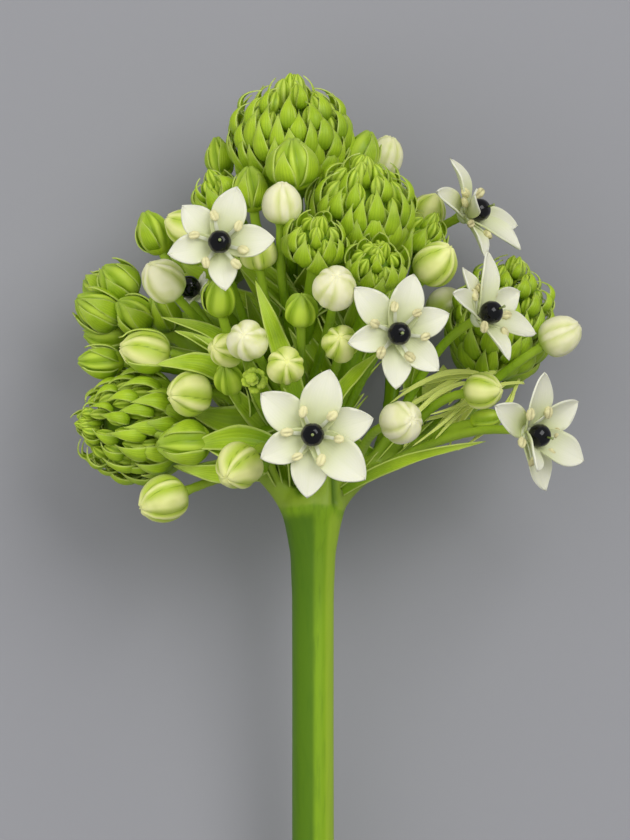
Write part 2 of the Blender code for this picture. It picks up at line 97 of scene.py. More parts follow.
class Habit(Enum):
    """How a head's bracts grow.

    Each value gives, at the head's foot and at its top, a bract's length and half width and its bud's
    radius in millimetres. Then come how far the bract stands off its bud, how much smaller the units
    are at the top, the height of the lowest tips as a share of the head's, and the core's share of the
    head's radius.
    """

    DENSE = ((11.2, 9.2), (2.8, 1.9), (2.35, 1.95), 1.0, 0.12, 0.27, 0.7)
    YOUNG = ((10.5, 6.5), (3.0, 1.6), (2.4, 1.5), 0.8, 0.3, 0.62, 0.5)
    ARCHED = ((14.5, 6.5), (3.0, 1.3), (2.3, 1.3), 1.5, 0.45, 0.33, 0.66)
    BRISTLY = ((8.8, 6.8), (2.35, 1.35), (2.0, 1.45), 1.3, 0.3, 0.18, 0.7)
    TINY = ((3.8, 3.2), (0.8, 0.5), (1.5, 1.35), 0.1, 0.0, 0.55, 0.5)
    BUDDED = ((0, 0), (0, 0), (0, 0), 0, 0, 0, 0)


@dataclass(frozen=True)
class HeadPlan:
    """The place and size of one dense head.

    As for each organ, carrier is the stalk that its own stalk leaves, and share how far along.
    """

    name: str
    centre: tuple
    facing: tuple
    length: float
    radius: float
    units: int
    carrier: str
    share: float
    habit: Habit = Habit.DENSE


@dataclass(frozen=True)
class BudPlan:
    """The place and size of one closed bud; hugs are the angles of the bracts that hug it."""

    name: str
    centre: tuple
    facing: tuple
    radius: float
    length: float
    carrier: str
    share: float
    tone: Tone = Tone.PALE
    hugs: tuple = ()


@dataclass(frozen=True)
class BloomPlan:
    """The place of one open bloom; each tepal is its angle round the facing, its length and its lift."""

    name: str
    base: tuple
    facing: tuple
    tepals: tuple
    carrier: str
    share: float
    pollen: float = 0.3
    cup: float = 0.3
    fullness: float = 1.0
    spread: float = 1.0


@dataclass(frozen=True)
class BractPlan:
    """A long loose bract: where it starts and ends, its half width and the side it faces."""

    start: tuple
    end: tuple
    half_width: float
    facing: tuple
    bend: float = 0.0
    bow: float = 0.075
    tone: float = 0.1


HEADS = tuple(HeadPlan(*row) for row in (
    ("head_top", (-4.8, 82.5, -3), (0, 0.99, 0.1), 26, 13.6, 84, "crown", 1),
    ("head_right_front", (10.8, 66.5, 11), (0.1, 0.9, 0.42), 23, 11.8, 72, "crown", 1),
    ("head_far_right", (42.4, 41.8, -10), (0.24, 0.94, -0.1), 28, 10.8, 90, "crown", 1, Habit.BRISTLY),
    ("head_low_left", (-40.7, 17.6, 3), (-0.92, 0.08, 0.36), 25, 12.2, 70, "crown", 1, Habit.ARCHED),
    ("head_left", (-39, 44, -8), (-0.96, 0.15, 0.15), 29, 9.8, 0, "crown", 1, Habit.BUDDED),
    ("head_back_left", (-24, 57, -27.3), (-0.35, 0.6, -0.72), 18, 9, 42, "crown", 1),
    ("head_back_right", (14, 62, -28), (0.2, 0.7, -0.68), 18, 9, 42, "crown", 1),
    ("head_back_low", (-14, 26, -22), (-0.3, 0.2, -0.93), 13, 6, 22, "crown", 1),
    ("head_right_low", (23.6, 59, 0), (0.5, 0.8, 0.3), 14, 6.8, 18, "head_right_front", 0.45, Habit.YOUNG),
    ("head_front_mid", (14, 53, 26), (0.1, 0.65, 0.75), 13, 7.0, 18, "head_right_front", 0.35, Habit.YOUNG),
    ("head_front_left", (0.7, 58, 25), (0.05, 0.75, 0.65), 14, 7.0, 18, "head_top", 0.35, Habit.YOUNG),
    ("head_upper_left", (-21.3, 69.3, -2), (-0.45, 0.88, 0.1), 11, 5.4, 13, "head_top", 0.5, Habit.YOUNG),
    ("head_cluster", (-12.8, 27.5, 28), (0, 0.3, 0.95), 7, 3.4, 9, "head_top", 0.1, Habit.TINY),
))

CREAM_BUDS = tuple(BudPlan(*row) for row in (
    ("bud_left_upper", (-33.1, 49.5, 15), (-0.55, 0.65, 0.5), 4.6, 10.6, "head_left", 0.4, Tone.CREAM),
    ("bud_top_front", (-6.9, 66.3, 24), (0.05, 0.95, 0.3), 4.3, 9.6, "head_top", 0.4, Tone.WHITE),
    ("bud_centre_cream", (4.8, 47.6, 38), (0.05, 0.5, 0.85), 4.7, 10, "head_top", 0.2, Tone.WHITE),
    ("bud_centre_green", (-2.6, 42.9, 30), (0, 0.8, 0.6), 3.7, 8.2, "head_top", 0.2, Tone.GREEN),
    ("bud_centre_low", (6, 35.5, 32), (0, 0.3, 0.95), 4, 8.6, "head_top", 0.12),
    ("bud_pair_front", (-14.4, 36.1, 35), (-0.2, 0.25, 0.95), 4.4, 9, "head_top", 0.15, Tone.CREAM),
    ("bud_pair_back", (-19.2, 34.1, 26), (-0.6, 0.1, 0.75), 3.8, 8.4, "head_left", 0.2),
    ("bud_ribbed", (-6, 30.6, 38), (0.05, 0.2, 0.97), 4.1, 8.6, "head_top", 0.08),
    ("bud_left_mid", (-27.3, 24.5, 16), (-0.85, -0.1, 0.5), 5, 10, "head_low_left", 0.35),
    ("bud_low_front", (-16.4, 8.4, 32), (-0.5, -0.5, 0.7), 5.1, 10.4, "head_low_left", 0.2),
    ("bud_low_left", (-33.1, 1.1, 12), (-0.9, -0.35, 0.3), 5.1, 11.4, "head_low_left", 0.3),
    ("bud_top_right", (16.1, 77.7, -11.5), (0.3, 0.93, 0.2), 3.9, 9.4, "head_top", 0.6, Tone.WHITE),
    ("bud_right_back", (25.5, 64.9, -12), (0.5, 0.85, 0.1), 4.2, 9.8, "head_far_right", 0.3),
    ("bud_right_upper", (27.1, 53.2, 16), (0.6, 0.7, 0.4), 4.7, 10.6, "head_right_front", 0.3),
    ("bud_far_right", (54.9, 37.4, 2), (0.85, 0.5, 0.1), 4.3, 10, "head_far_right", 0.6, Tone.WHITE),
    ("bud_right_mid", (37.6, 25.1, 14), (0.9, 0.1, 0.4), 4.1, 8.8, "head_far_right", 0.35),
    ("bud_right_front", (19.4, 18.3, 36), (0.5, 0.1, 0.85), 4.6, 9.4, "head_far_right", 0.1, Tone.WHITE),
    ("bud_behind_bloom", (-12.1, 56.1, 20), (-0.1, 0.9, 0.4), 4.2, 9, "head_top", 0.3),
    ("bud_upper_left", (-28.7, 61.4, 4), (-0.85, 0.5, 0.1), 4, 9, "head_upper_left", 0.6),
    ("bud_wrapped", (-37.2, 34, 10), (-0.95, 0.1, 0.3), 4.5, 11.5,
     "head_left", 0.35, Tone.PALE, (84, -78, 175)),
    ("bud_back_mid", (-4, 46, -26), (-0.1, 0.3, -0.95), 4.4, 9.6, "head_back_right", 0.4, Tone.CREAM),
    ("bud_back_right", (30, 44, -20), (0.5, 0.4, -0.77), 4.5, 9.8, "head_far_right", 0.4, Tone.CREAM),
    ("bud_back_top", (-4, 74, -20), (0, 0.8, -0.6), 4.2, 9.2, "head_top", 0.5),
    ("bud_back_left", (-36, 36, -22), (-0.7, 0.2, -0.7), 4.4, 9.6, "head_left", 0.5),
))

YOUNG_BUDS = tuple(BudPlan(*row) for row in (
    ("under_bloom", (-20.5, 45.7, 18), (-0.1, 0.85, 0.5), 3.5, 8, "head_top", 0.3, Tone.GREEN, (-170,)),
    ("outer_left", (-35.4, 60.3, -2), (-0.4, 0.9, 0), 3.7, 9, "head_left", 0.35, Tone.GREEN, (-120, -20)),
    ("between_heads", (-47, 31.6, 2), (-0.97, 0.05, 0.1), 3.3, 9,
     "head_left", 0.4, Tone.GREEN, (20, 95, 200, 300)),
    ("on_low_left", (-28.4, 13.6, 15), (-0.95, -0.1, 0.3), 4.6, 11,
     "head_low_left", 0.3, Tone.GREEN, (50, 130, -60)),
    ("top_side_right", (11, 78.1, -4), (0.3, 0.95, 0), 3.7, 9, "head_top", 0.7, Tone.GREEN, (-150, -60)),
    ("top_base_left", (-13.6, 69.7, 8), (-0.1, 0.95, 0.2), 3.9, 9,
     "head_top", 0.55, Tone.GREEN, (-165, -100, -35)),
    ("top_base_front", (-4.5, 75, 15), (0, 0.97, 0.25), 5.1, 10.5,
     "head_top", 0.6, Tone.GREEN, (-160, -108, -30)),
    ("top_side_left", (-20.7, 77.3, -10), (-0.2, 0.95, 0), 2.9, 8,
     "head_top", 0.6, Tone.GREEN, (-150, -70, 10)),
    ("in_left", (-18.6, 27.9, 20), (-0.2, 0.6, 0.7), 3.2, 7, "head_left", 0.15, Tone.GREEN),
    ("behind_right_bloom", (38.3, 18.7, 8), (0.9, 0.2, 0.1), 2.6, 6, "head_far_right", 0.4, Tone.GREEN),
))

CLUSTER_BUDS = tuple(BudPlan(*row) for row in (
    ("cluster_outer", (-48, 43.2, -5), (-0.8, 0.45, 0.4), 4.3, 11.6,
     "head_left", 0.8, Tone.GREEN, (-150, -100, -50, 10, 70)),
    ("cluster_upper", (-43.4, 49.6, -8), (-0.72, 0.62, 0.3), 4.1, 10,
     "head_left", 0.8, Tone.GREEN, (-160, -110, -60, 40, 110)),
    ("cluster_middle", (-40, 42.4, -2.5), (-0.7, 0.55, 0.45), 3.9, 9.6,
     "head_left", 0.6, Tone.GREEN, (-140, -85, -20, 80)),
    ("cluster_inner", (-33.5, 42.8, -4), (-0.4, 0.85, 0.35), 3.6, 9.4,
     "head_left", 0.45, Tone.GREEN, (-165, -70, 10)),
    ("cluster_low", (-46.3, 37.6, -9), (-0.95, 0.1, 0.2), 3.7, 10,
     "head_left", 0.7, Tone.GREEN, (-60, 60, 170)),
    ("cluster_back", (-47.5, 47.8, -13.5), (-0.75, 0.5, -0.4), 3.8, 9.6,
     "head_left", 0.8, Tone.GREEN, (-100, 20, 130)),
    ("cluster_rear", (-40.5, 43.5, -16), (-0.6, 0.3, -0.75), 3.8, 9.6,
     "head_left", 0.6, Tone.GREEN, (-60, 60, 170)),
    ("cluster_under", (-37, 36.6, -12), (-0.8, -0.2, -0.5), 3.5, 9,
     "head_left", 0.5, Tone.GREEN, (-120, 20, 120)),
))

BLOOMS = tuple(BloomPlan(*row) for row in (
    ("upper_left", (-20.5, 57.1, 28), (0.02, 0.1, 1),
     ((72, 13.2, 12), (135, 11.9, 12), (194, 11.8, 10), (278, 10.8, 12), (3, 12.4, 12)),
     "head_left", 0.3, 0.25),
    ("right", (17.8, 37.4, 36), (0.18, 0.02, 0.98),
     ((74, 13.9, 12), (132, 14.2, 12), (190, 11.6, 12), (269, 12.4, 12), (319, 12.3, 12),
      (22, 12.8, 12)), "head_right_front", 0.2, 0.55, 0.3, 0.9),
    ("centre", (-0.1, 15.5, 42), (0, 0, 1),
     ((76, 14.9, 8), (141, 14.6, 8), (204, 12.6, 8), (265, 14, 8), (319, 15.3, 8),
      (16, 13.9, 8)), "head_top", 0.05, 0.05),
    ("far_right_upper", (35.35, 40.5, 17), (0.73, 0.35, 0.58),
     ((84, 14.9, 24), (118, 12.8, 20), (162, 14.2, 16), (270, 12.8, 25), (339, 14.9, 15),
      (22, 14.2, 17)), "head_far_right", 0.25, 0.6, 0.55, 0.76),
    ("far_right_low", (45.9, 16.2, 18), (0.73, -0.17, 0.66),
     ((99, 14.9, 14), (154, 14.6, 8), (230, 12.6, 44), (297, 14.6, 8), (338, 15, 30),
      (33, 15, 18)), "head_far_right", 0.12, 0.7, 0.4, 0.82),
    ("top_right", (32.5, 63.9, -6), (0.85, 0.3, 0.43),
     ((113, 13.8, 14), (160, 14.3, 6), (170, 13.2, 38), (249, 13, 22), (306, 15, 30),
      (341, 14.5, 26)), "head_far_right", 0.3, 0.9, 0.5, 0.74),
    ("half_hidden", (-23.5, 46, 3), (-0.75, 0.4, 0.5),
     ((30, 5.6, 24), (90, 5.4, 24), (150, 6, 30), (210, 6, 30), (270, 6, 30),
      (330, 5.6, 24)), "head_left", 0.3, 0.3, 0.3, 0.75, 0.0),
    ("back_right", (9, 42, -19), (0.15, -0.1, -0.98),
     ((20, 12.6, 12), (80, 12.9, 10), (140, 12.6, 12), (200, 12.4, 12), (260, 12.9, 10),
      (320, 12.6, 12)), "head_back_right", 0.35, 0.5),
    ("back_left", (-37.5, 19.5, -18), (-0.4, -0.1, -0.9),
     ((0, 12.2, 14), (60, 12.6, 12), (120, 12.2, 14), (180, 12, 12), (240, 12.6, 14),
      (300, 12.2, 12)), "head_low_left", 0.4, 0.4),
))

LONG_BRACTS = tuple(BractPlan(*row) for row in (
    ((-3, 22, 22), (-12.6, 49.3, 25), 2.3, (0.1, 0, 1), 0, 0.05, 0.0),
    ((6.5, 3, 3), (38, 13.9, 17), 1.3, (0, -0.4, 1), -2.4, 0.02, 0.1),
    ((-9, 13, 16), (-27.6, 12.6, 17.5), 2.9, (0.1, 0.2, 1), 1.5, 0.06, 0.15),
    ((-10, 9, 13), (-29.8, 8.4, 13.5), 2.4, (0.1, -0.2, 1), -1.5, 0.08, 0.0),
    ((-8, 19, 9), (-28, 21, 8), 3.6, (0, 0.2, 1), -2.0, 0.05, 0.5),
    ((-14, 22, 12), (-33.5, 41.5, 13), 2.4, (0.3, 0.4, 0.8), 5.5, 0.1, 0.3),
    ((-13, 20, 14), (-27, 38, 15), 2.0, (0.3, 0.4, 0.8), 3.5, 0.1, 0.2),
    ((-17, 26, 13), (-34.5, 31, 16.5), 2.6, (0.1, 0.3, 1), 2.2, 0.12, 0.0),
    ((-16, 24, 12), (-30.5, 38.5, 13), 2.4, (0.3, 0.5, 0.8), 3.0, 0.1, 0.1),
    ((3, 20, 27), (14.5, 33.7, 28), 1.9, (-0.3, 0.5, 0.8)),
    ((-10, 8, 14), (-29, 17, 14), 2.2, (0.1, 0.5, 0.9), -2, 0.1, 0.0),
    ((-14, 12, 12), (-31, 8.5, 9), 2.4, (0.1, -0.3, 0.9), -2, 0.12, 0.1),
))

# The pale threads at the right: where each starts and ends, its half width, its bend, bow and tone.
STRANDS = tuple(BractPlan(*row[:3], (0, 0.3, 1), *row[3:]) for row in (
    ((34, 27, 1), (19, 15.5, 12), 0.5, 1.5, 0.08, -1.0),
    ((36, 26, 0), (22, 13, 11), 0.3, -1.5, 0.1, -1.0),
    ((37, 29, -1), (17, 22.5, 11), 0.55, 2.0, 0.08, -0.9),
    ((40, 24, -1), (27, 14.5, 9), 0.35, 1.0, 0.08, -1.0),
    ((45, 26, -2), (32, 12, 8), 0.3, -2.5, 0.1, -1.0),
    ((43, 27, -2), (26, 20, 9), 0.45, -1.5, 0.1, -0.9),
    ((38, 24, -2), (30, 11.5, 7), 0.25, 2.0, 0.1, -1.0),
    ((41, 26, -3), (21, 18, 5), 0.5, -2.0, 0.08, -0.8),
    ((35, 30, -3), (15, 19, 5), 0.6, -1.0, 0.08, -0.8),
    ((47, 27, -3), (28, 16, 5), 0.3, 2.5, 0.1, -1.0),
    ((46, 28, -5), (35, 14, 5), 0.25, -1.5, 0.1, -1.0),
    ((39, 28, -4), (19, 25, 4), 0.5, 1.0, 0.08, -0.9),
    ((44, 29, -5), (30, 22, 3), 0.45, 2.2, 0.1, -1.0),
    ((42, 25, -5), (24, 11.5, 4), 0.35, 3.0, 0.08, -1.0),
    ((33, 29, -6), (20, 12.5, 2), 1.5, 1.0, 0.05, -0.7),
    ((38, 30, -7), (28, 13, 1), 1.7, -1.0, 0.05, -0.7),
    ((30, 30, -6), (16, 16, 1), 1.6, -1.0, 0.05, -0.6),
))


def smooth_step(low: float, high: float, value: float) -> float:
    """Rises softly from 0 at low to 1 at high.

    Args:
        low: Where the rise starts.
        high: Where the rise ends.
        value: The number to read.

    Returns:
        The share of the rise, from 0 to 1.
    """
    share = min(max((value - low) / (high - low), 0), 1)
    return share * share * (3 - 2 * share)


def facing_matrix(place: tuple, facing: tuple) -> Matrix:
    """Builds a frame whose z is the facing, with y as near up the stem as it goes.

    Args:
        place: The frame's origin in the flower's frame.
        facing: The direction of its z.

    Returns:
        The matrix from that frame to the flower's.
    """
    forward = Vector(facing).normalized()
    across = UP.cross(forward).normalized()
    above = forward.cross(across)
    turned = Matrix((across, above, forward)).transposed().to_4x4()
    return Matrix.Translation(Vector(place)) @ turned


def around_axis(turn: float) -> tuple[Vector, Vector]:
    """Gives the directions away from the z axis, and along the circle round it, at a turn in radians."""
    return Vector((math.cos(turn), math.sin(turn), 0)), Vector((-math.sin(turn), math.cos(turn), 0))


def on_ring(point: Vector, radius: float, height: float) -> Vector:
    """Puts a point of a sphere on a ring round the z axis.

    Args:
        point: The point of the sphere, which says on which side of the axis it is.
        radius: The ring's radius.
        height: The ring's height.

    Returns:
        The point on the ring, or on the axis if it is the sphere's pole.
    """
    level = Vector((point.x, point.y, 0))
    level = level.normalized() * radius if level.length > 1e-6 else level * 0
    return level + Vector((0, 0, height))


def square_to(ahead: Vector, over: Vector) -> tuple[Vector, Vector]:
    """Turns a direction square to the way ahead, and gives it with the one across both."""
    over = (over - ahead * over.dot(ahead) / ahead.length_squared).normalized()
    return over, ahead.cross(over).normalized()


def leaf_width(along: float, foot: float, widest: float, narrowing: float, power: float) -> float:
    """Gives a leaf's width at a share of its length.

    Args:
        along: The share of its length.
        foot: Its width at the foot, as a share of its full width.
        widest: Where it reaches its full width.
        narrowing: Where it starts to narrow to its tip.
        power: How soon it narrows: above 1 for a drawn-out tip.

    Returns:
        The share of its full width.
    """
    swell = foot + (1 - foot) * math.sin(min(along / widest, 1) * QUARTER_TURN)
    return swell * max(math.cos(max(along - narrowing, 0) / (1 - narrowing) * QUARTER_TURN), 0) ** power


def folded(across: float, width: float, fold: float) -> tuple[float, float]:
    """Folds a leaf's cross-section to an arc.

    Args:
        across: The place between the edges, from -1 to 1.
        width: The leaf's half width.
        fold: The angle in radians by which each edge turns in.

    Returns:
        How far the place is from the midrib: sideways, and inwards.
    """
    radius = math.sin(fold)
    return width * math.sin(across * fold) / radius, width * (1 - math.cos(across * fold)) / radius


def new_object(name: str, data: bpy.types.ID) -> Object:
    """Makes an object at the origin and puts it in the scene.

    Args:
        name: Its name.
        data: Its mesh, curve, light or camera.

    Returns:
        The object.
    """
    obj = bpy.data.objects.new(name, data)
    bpy.context.scene.collection.objects.link(obj)
    return obj


def new_mesh_object(name: str, bm: bmesh.types.BMesh, *materials: Material) -> Object:
    """Makes an object of a finished bmesh, and frees the bmesh.

    Args:
        name: The object's name, and its mesh's.
        bm: The finished bmesh.
        materials: Its finishes.

    Returns:
        The object, at the origin.
    """
    mesh = bpy.data.meshes.new(name)
    bm.to_mesh(mesh)
    bm.free()
    for material in materials:
        mesh.materials.append(material)
    return new_object(name, mesh)


def baked_mesh(obj: Object) -> bpy.types.Mesh:
    """Applies an object's modifiers, and removes the object.

    Args:
        obj: The object.

    Returns:
        Its finished mesh.
    """
    mesh = bpy.data.meshes.new_from_object(obj.evaluated_get(bpy.context.evaluated_depsgraph_get()))
    bpy.data.objects.remove(obj)
    return mesh


def linear(code: str) -> tuple[float, float, float, float]:
    """Turns an sRGB hex colour to linear values.

    Args:
        code: Six hex digits after a #.

    Returns:
        Red, green, blue and an alpha of 1.
    """
    values = []
    for start in (1, 3, 5):
        value = int(code[start:start + 2], 16) / 255
        values.append(value / 12.92 if value <= 0.04045 else ((value + 0.055) / 1.055) ** 2.4)
    return (*values, 1.0)


@dataclass(frozen=True)
class Mask:
    """A soft mask: 0 where its source is at low, 1 where it is at high, which may be the lower number."""

    source: Socket
    low: float = 0.0
    high: float = 1.0


@dataclass(frozen=True)
class Blend:
    """One colour laid over what is below it, where its mask is, or where all of several are."""

    colour: str
    masks: Mask | Socket | tuple
    strength: float = 1.0


class Painter:
    """Builds one procedural material from masks on the piece's own attributes and object coordinates."""

    def __init__(self, name: str, *attributes: str) -> None:
        """Starts a material.

        Args:
            name: Its name.
            attributes: The numbers on the piece's vertices that it reads.
        """
        self.material = bpy.data.materials.new(name)
        self.material.use_nodes = True
        self.tree = self.material.node_tree
        self.shader = self.tree.nodes["Principled BSDF"]
        self.place = self.add("TexCoord", output="Object")
        self.read = [self.add("Attribute", output="Fac", attribute_name=item) for item in attributes]

    def fill(self, node: bpy.types.Node, inputs: dict) -> None:
        """Fills a node's inputs.

        Args:
            node: The node.
            inputs: For each input's name or number, a value to set or an output to link.
        """
        for key, value in inputs.items():
            if isinstance(value, Socket):
                self.tree.links.new(value, node.inputs[key])
            else:
                node.inputs[key].default_value = value

    def add(self, kind: str, inputs: dict | None = None, output: str | int = 0, **settings: str) -> Socket:
        """Adds a node with its settings and inputs.

        Args:
            kind: The node's type, after the word ShaderNode.
            inputs: What its inputs are filled with.
            output: The name or number of the output to give.
            settings: The node's own properties.

        Returns:
            That output.
        """
        node = self.tree.nodes.new("ShaderNode" + kind)
        for name, value in settings.items():
            setattr(node, name, value)
        self.fill(node, inputs or {})
        return node.outputs[output]

    def grain(self, size_mm: tuple, detail: float = 2.0) -> Socket:
        """Makes a noise on the object coordinates.

        Args:
            size_mm: About how large its features are along x, y and z.
            detail: How many finer layers it has.

        Returns:
            The noise, from 0 to 1.
        """
        scale = Vector([1 / (MM * size) for size in size_mm])
        mapped = self.add("Mapping", {"Vector": self.place, "Scale": scale})
        return self.add("TexNoise", {"Vector": mapped, "Scale": 1.0, "Detail": detail}, "Fac")

    def veins(self, across: Socket, count: float, wobble: float) -> Socket:
        """Draws fine lines along a blade.

        Args:
            across: The blade's own attribute, 0 on its midrib and 1 on its edge.
            count: The lines on each side of the midrib.
            wobble: How far they sway, in lines.

        Returns:
            The lines, from 0 to 1.
        """
        sway = self.add("Math", {0: self.grain((2.5, 2.5, 2.5)), 1: wobble}, operation="MULTIPLY")
        lines = self.add("Math", {0: across, 1: count}, operation="MULTIPLY")
        turns = self.add("Math", {0: lines, 1: sway}, operation="ADD")
        angle = self.add("Math", {0: turns, 1: math.tau}, operation="MULTIPLY")
        wave = self.add("Math", {0: angle}, operation="SINE")
        return self.add("MapRange", {"Value": wave, "From Min": -1.0}, interpolation_type="SMOOTHSTEP")

    def colour(self, base: str, blends: list[Blend]) -> None:
        """Paints the base colour and lays each blend over it.

        Args:
            base: The sRGB hex colour below all.
            blends: The colours over it, from below to above.
        """
        below = linear(base)
        for blend in blends:
            factor = blend.strength
            for mask in blend.masks if isinstance(blend.masks, tuple) else (blend.masks,):
                if isinstance(mask, Mask):
                    inputs = {"Value": mask.source, "From Min": mask.low, "From Max": mask.high}
                    mask = self.add("MapRange", inputs, interpolation_type="SMOOTHSTEP")
                factor = self.add("Math", {0: mask, 1: factor}, operation="MULTIPLY")
            below = self.add("Mix", {0: factor, 6: below, 7: linear(blend.colour)}, 2, data_type="RGBA")
        self.set(Base_Color=below)

    def relief(self, gloss: Socket, roughness: tuple, height: Socket, depth_mm: float, power: float) -> None:
        """Lets one pattern vary the gloss, and raises the surface by another or by the same.

        Args:
            gloss: The pattern that the roughness follows.
            roughness: Its values where that pattern is 0 and where it is 1.
            height: The pattern that the surface follows.
            depth_mm: How far that pattern raises it.
            power: How strongly that shows.
        """
        low, high = roughness
        self.set(
            Roughness=self.add("MapRange", {"Value": gloss, "To Min": low, "To Max": high}),
            Normal=self.add("Bump", {"Height": height, "Distance": depth_mm * MM, "Strength": power}),
        )

    def set(self, **values: Socket | float | tuple) -> None:
        """Fills the shader's own inputs, named with _ for each space."""
        self.fill(self.shader, {name.replace("_", " "): value for name, value in values.items()})

    def flesh(self, weight: float, depth_mm: float, tint: tuple = (1.0, 0.9, 0.4)) -> None:
        """Lets light into the tissue, as deep as depth_mm."""
        self.set(Subsurface_Weight=weight, Subsurface_Radius=tint, Subsurface_Scale=depth_mm * MM)


@dataclass(frozen=True)
class StemSkin:
    """Waxy skin of a fresh scape: smooth, satin, with faint lengthwise fibres, paler just under its organs,
    with painted shade on its left side and in the crown's creases, and painted light on its right side.
    """

    base: str = "#87AD14"
    deep: str = "#466F02"
    olive: str = "#9DB53C"
    pale: str = "#AFCB3A"

    def build(self) -> Material:
        """Builds the material. The fibres run along the stem, 0.9 mm apart, coarser than the real ones."""
        paint = Painter("fresh_scape_waxy_skin", "side", "branch", "crease", "tip")
        side, branch, crease, tip = paint.read
        fibre = paint.grain((0.9, 40, 0.9), 3.0)
        patch = paint.grain((9, 60, 9))
        paint.colour(self.base, [
            Blend(self.deep, Mask(fibre, 0.45, 0.75), 0.3),
            Blend(self.deep, Mask(patch, 0.45, 0.7), 0.3),
            # Painted shade on the stem's left side, and painted light on its right side.
            Blend(self.deep, Mask(side, 0.0, 1.0), 0.8),
            Blend(self.pale, Mask(side, 0.0, -1.0), 0.55),
            Blend(self.olive, branch, 0.75),
            # Painted shade in the creases between the crown's shoulders.
            Blend(self.deep, crease, 0.85),
            Blend(self.pale, tip, 0.7),
        ])
        paint.relief(fibre, (0.36, 0.5), fibre, 0.05, 0.5)
        paint.flesh(0.15, 1.6)
        paint.set(Specular_IOR_Level=0.32)
        return paint.material


@dataclass(frozen=True)
class BractSkin:
    """Thin green bract: satin, veined lengthwise, its edge paler because it is only a few cells thick."""

    base: str = "#BBD930"
    deep: str = "#668C06"
    edge: str = "#E0EC8C"
    ghost: str = "#F2FC88"

    def build(self) -> Material:
        """Builds the material. The veins are drawn 0.5 mm apart, wider than real ones so that they show."""
        paint = Painter("thin_green_bract", "along", "across", "tone")
        along, across, tone = paint.read
        vein = paint.veins(across, 3.5, 0.35)
        patch = paint.grain((5, 5, 5))
        paint.colour(self.base, [
            # Darker towards the bract's foot: partly its own deeper green there, partly painted shade where
            # it lies under other bracts.
            Blend(self.deep, Mask(along, 0.55, 0.0), 0.85),
            Blend(self.deep, Mask(patch, 0.45, 0.75), 0.35),
            # The tone deepens the green: at random on each bract, and as painted shade on the bracts deep
            # among the stalks.
            Blend(self.deep, tone, 0.75),
            Blend(self.deep, vein, 0.16),
            Blend(self.edge, Mask(across, 0.75, 1.0), 0.5),
            Blend(self.edge, Mask(along, 0.6, 1.0), 0.3),
            Blend(self.ghost, Mask(tone, -0.2, -0.8), 0.95),
        ])
        paint.relief(patch, (0.36, 0.5), vein, 0.05, 0.6)
        paint.flesh(0.25, 1.2)
        paint.set(Specular_IOR_Level=0.3)
        return paint.material


@dataclass(frozen=True)
class BudSkin:
    """Closed tepals of a bud: satin, each lobe pale on its crest and green towards its seams."""

    white: str = "#FAF6CA"
    cream: str = "#FCF9CC"
    pale: str = "#F6F99E"
    green: str = "#CBE34B"
    white_flank: str = "#D4DC7C"
    pale_flank: str = "#BDD632"
    green_flank: str = "#90B214"
    deep: str = "#76980A"
    shade: str = "#557A00"

    def build(self) -> Material:
        """Builds the material. The tone attribute runs from 0, white, to 1, green, and above 1.2 it paints
        shade.
        """
        paint = Painter("bud_tepal_skin", "along", "across", "tone")
        along, across, tone = paint.read
        patch = paint.grain((2.2, 2.2, 2.2))
        blush = paint.grain((3.5, 3.5, 3.5), 1.0)
        half, whole = Mask(tone, 0.25, 0.6), Mask(tone, 0.6, 0.95)
        creep = paint.add("Math", {0: tone, 1: 0.45}, operation="MULTIPLY")
        spread = paint.add("Math", {0: across, 1: creep}, operation="ADD")
        flank = (Mask(spread, 0.4, 1.15), Mask(along, 1.0, 0.8))
        crest = (Mask(across, 0.75, 0.2), Mask(along, 0.1, 0.45), Mask(along, 1.0, 0.7))
        paint.colour(self.white, [
            Blend(self.cream, Mask(tone, 0.0, 0.28), 0.9),
            Blend(self.pale, half, 0.9),
            Blend(self.white_flank, flank, 0.85),
            Blend(self.pale_flank, (*flank, half), 0.8),
            Blend(self.white_flank, Mask(blush, 0.45, 0.7), 0.4),
            Blend(self.green_flank, whole, 0.85),
            Blend(self.green, (*crest, whole), 0.85),
            # Darker green along the seams: partly the tepals' own green, partly painted shade in the furrows
            # between the lobes.
            Blend(self.deep, (Mask(across, 0.86, 1.0), half), 0.7),
            Blend(self.pale_flank, Mask(along, 0.24, 0.02), 0.75),
            # Painted shade: a tone above 1.2 paints the heads' cores dark, as the shade in the gaps between
            # their units.
            Blend(self.shade, Mask(tone, 1.2, 1.5), 0.85),
        ])
        paint.relief(patch, (0.36, 0.48), paint.veins(across, 2.5, 0.3), 0.03, 0.4)
        paint.flesh(0.25, 1.4, (1.0, 0.95, 0.6))
        paint.set(Specular_IOR_Level=0.32)
        return paint.material


@dataclass(frozen=True)
class TepalSkin:
    """Open white tepal: silky, thin enough to glow, cream-green towards its base, finely veined."""

    base: str = "#F2F1DA"
    throat: str = "#CAD588"
    vein: str = "#DDE1BE"

    def build(self) -> Material:
        """Builds the material. The veins are 0.6 mm apart, as on the real tepal."""
        paint = Painter("silky_white_tepal", "along", "across")
        along, across = paint.read
        vein = paint.veins(across, 6.0, 0.25)
        paint.colour(self.base, [
            Blend(self.throat, Mask(along, 0.8, 0.1), 0.75),
            Blend(self.vein, vein, 0.1),
            Blend(self.vein, Mask(across, 0.2, 0.0), 0.12),
        ])
        paint.relief(vein, (0.42, 0.5), vein, 0.02, 0.4)
        paint.flesh(0.25, 0.8, (1.0, 1.0, 0.7))
        paint.set(Specular_IOR_Level=0.25)
        return paint.material


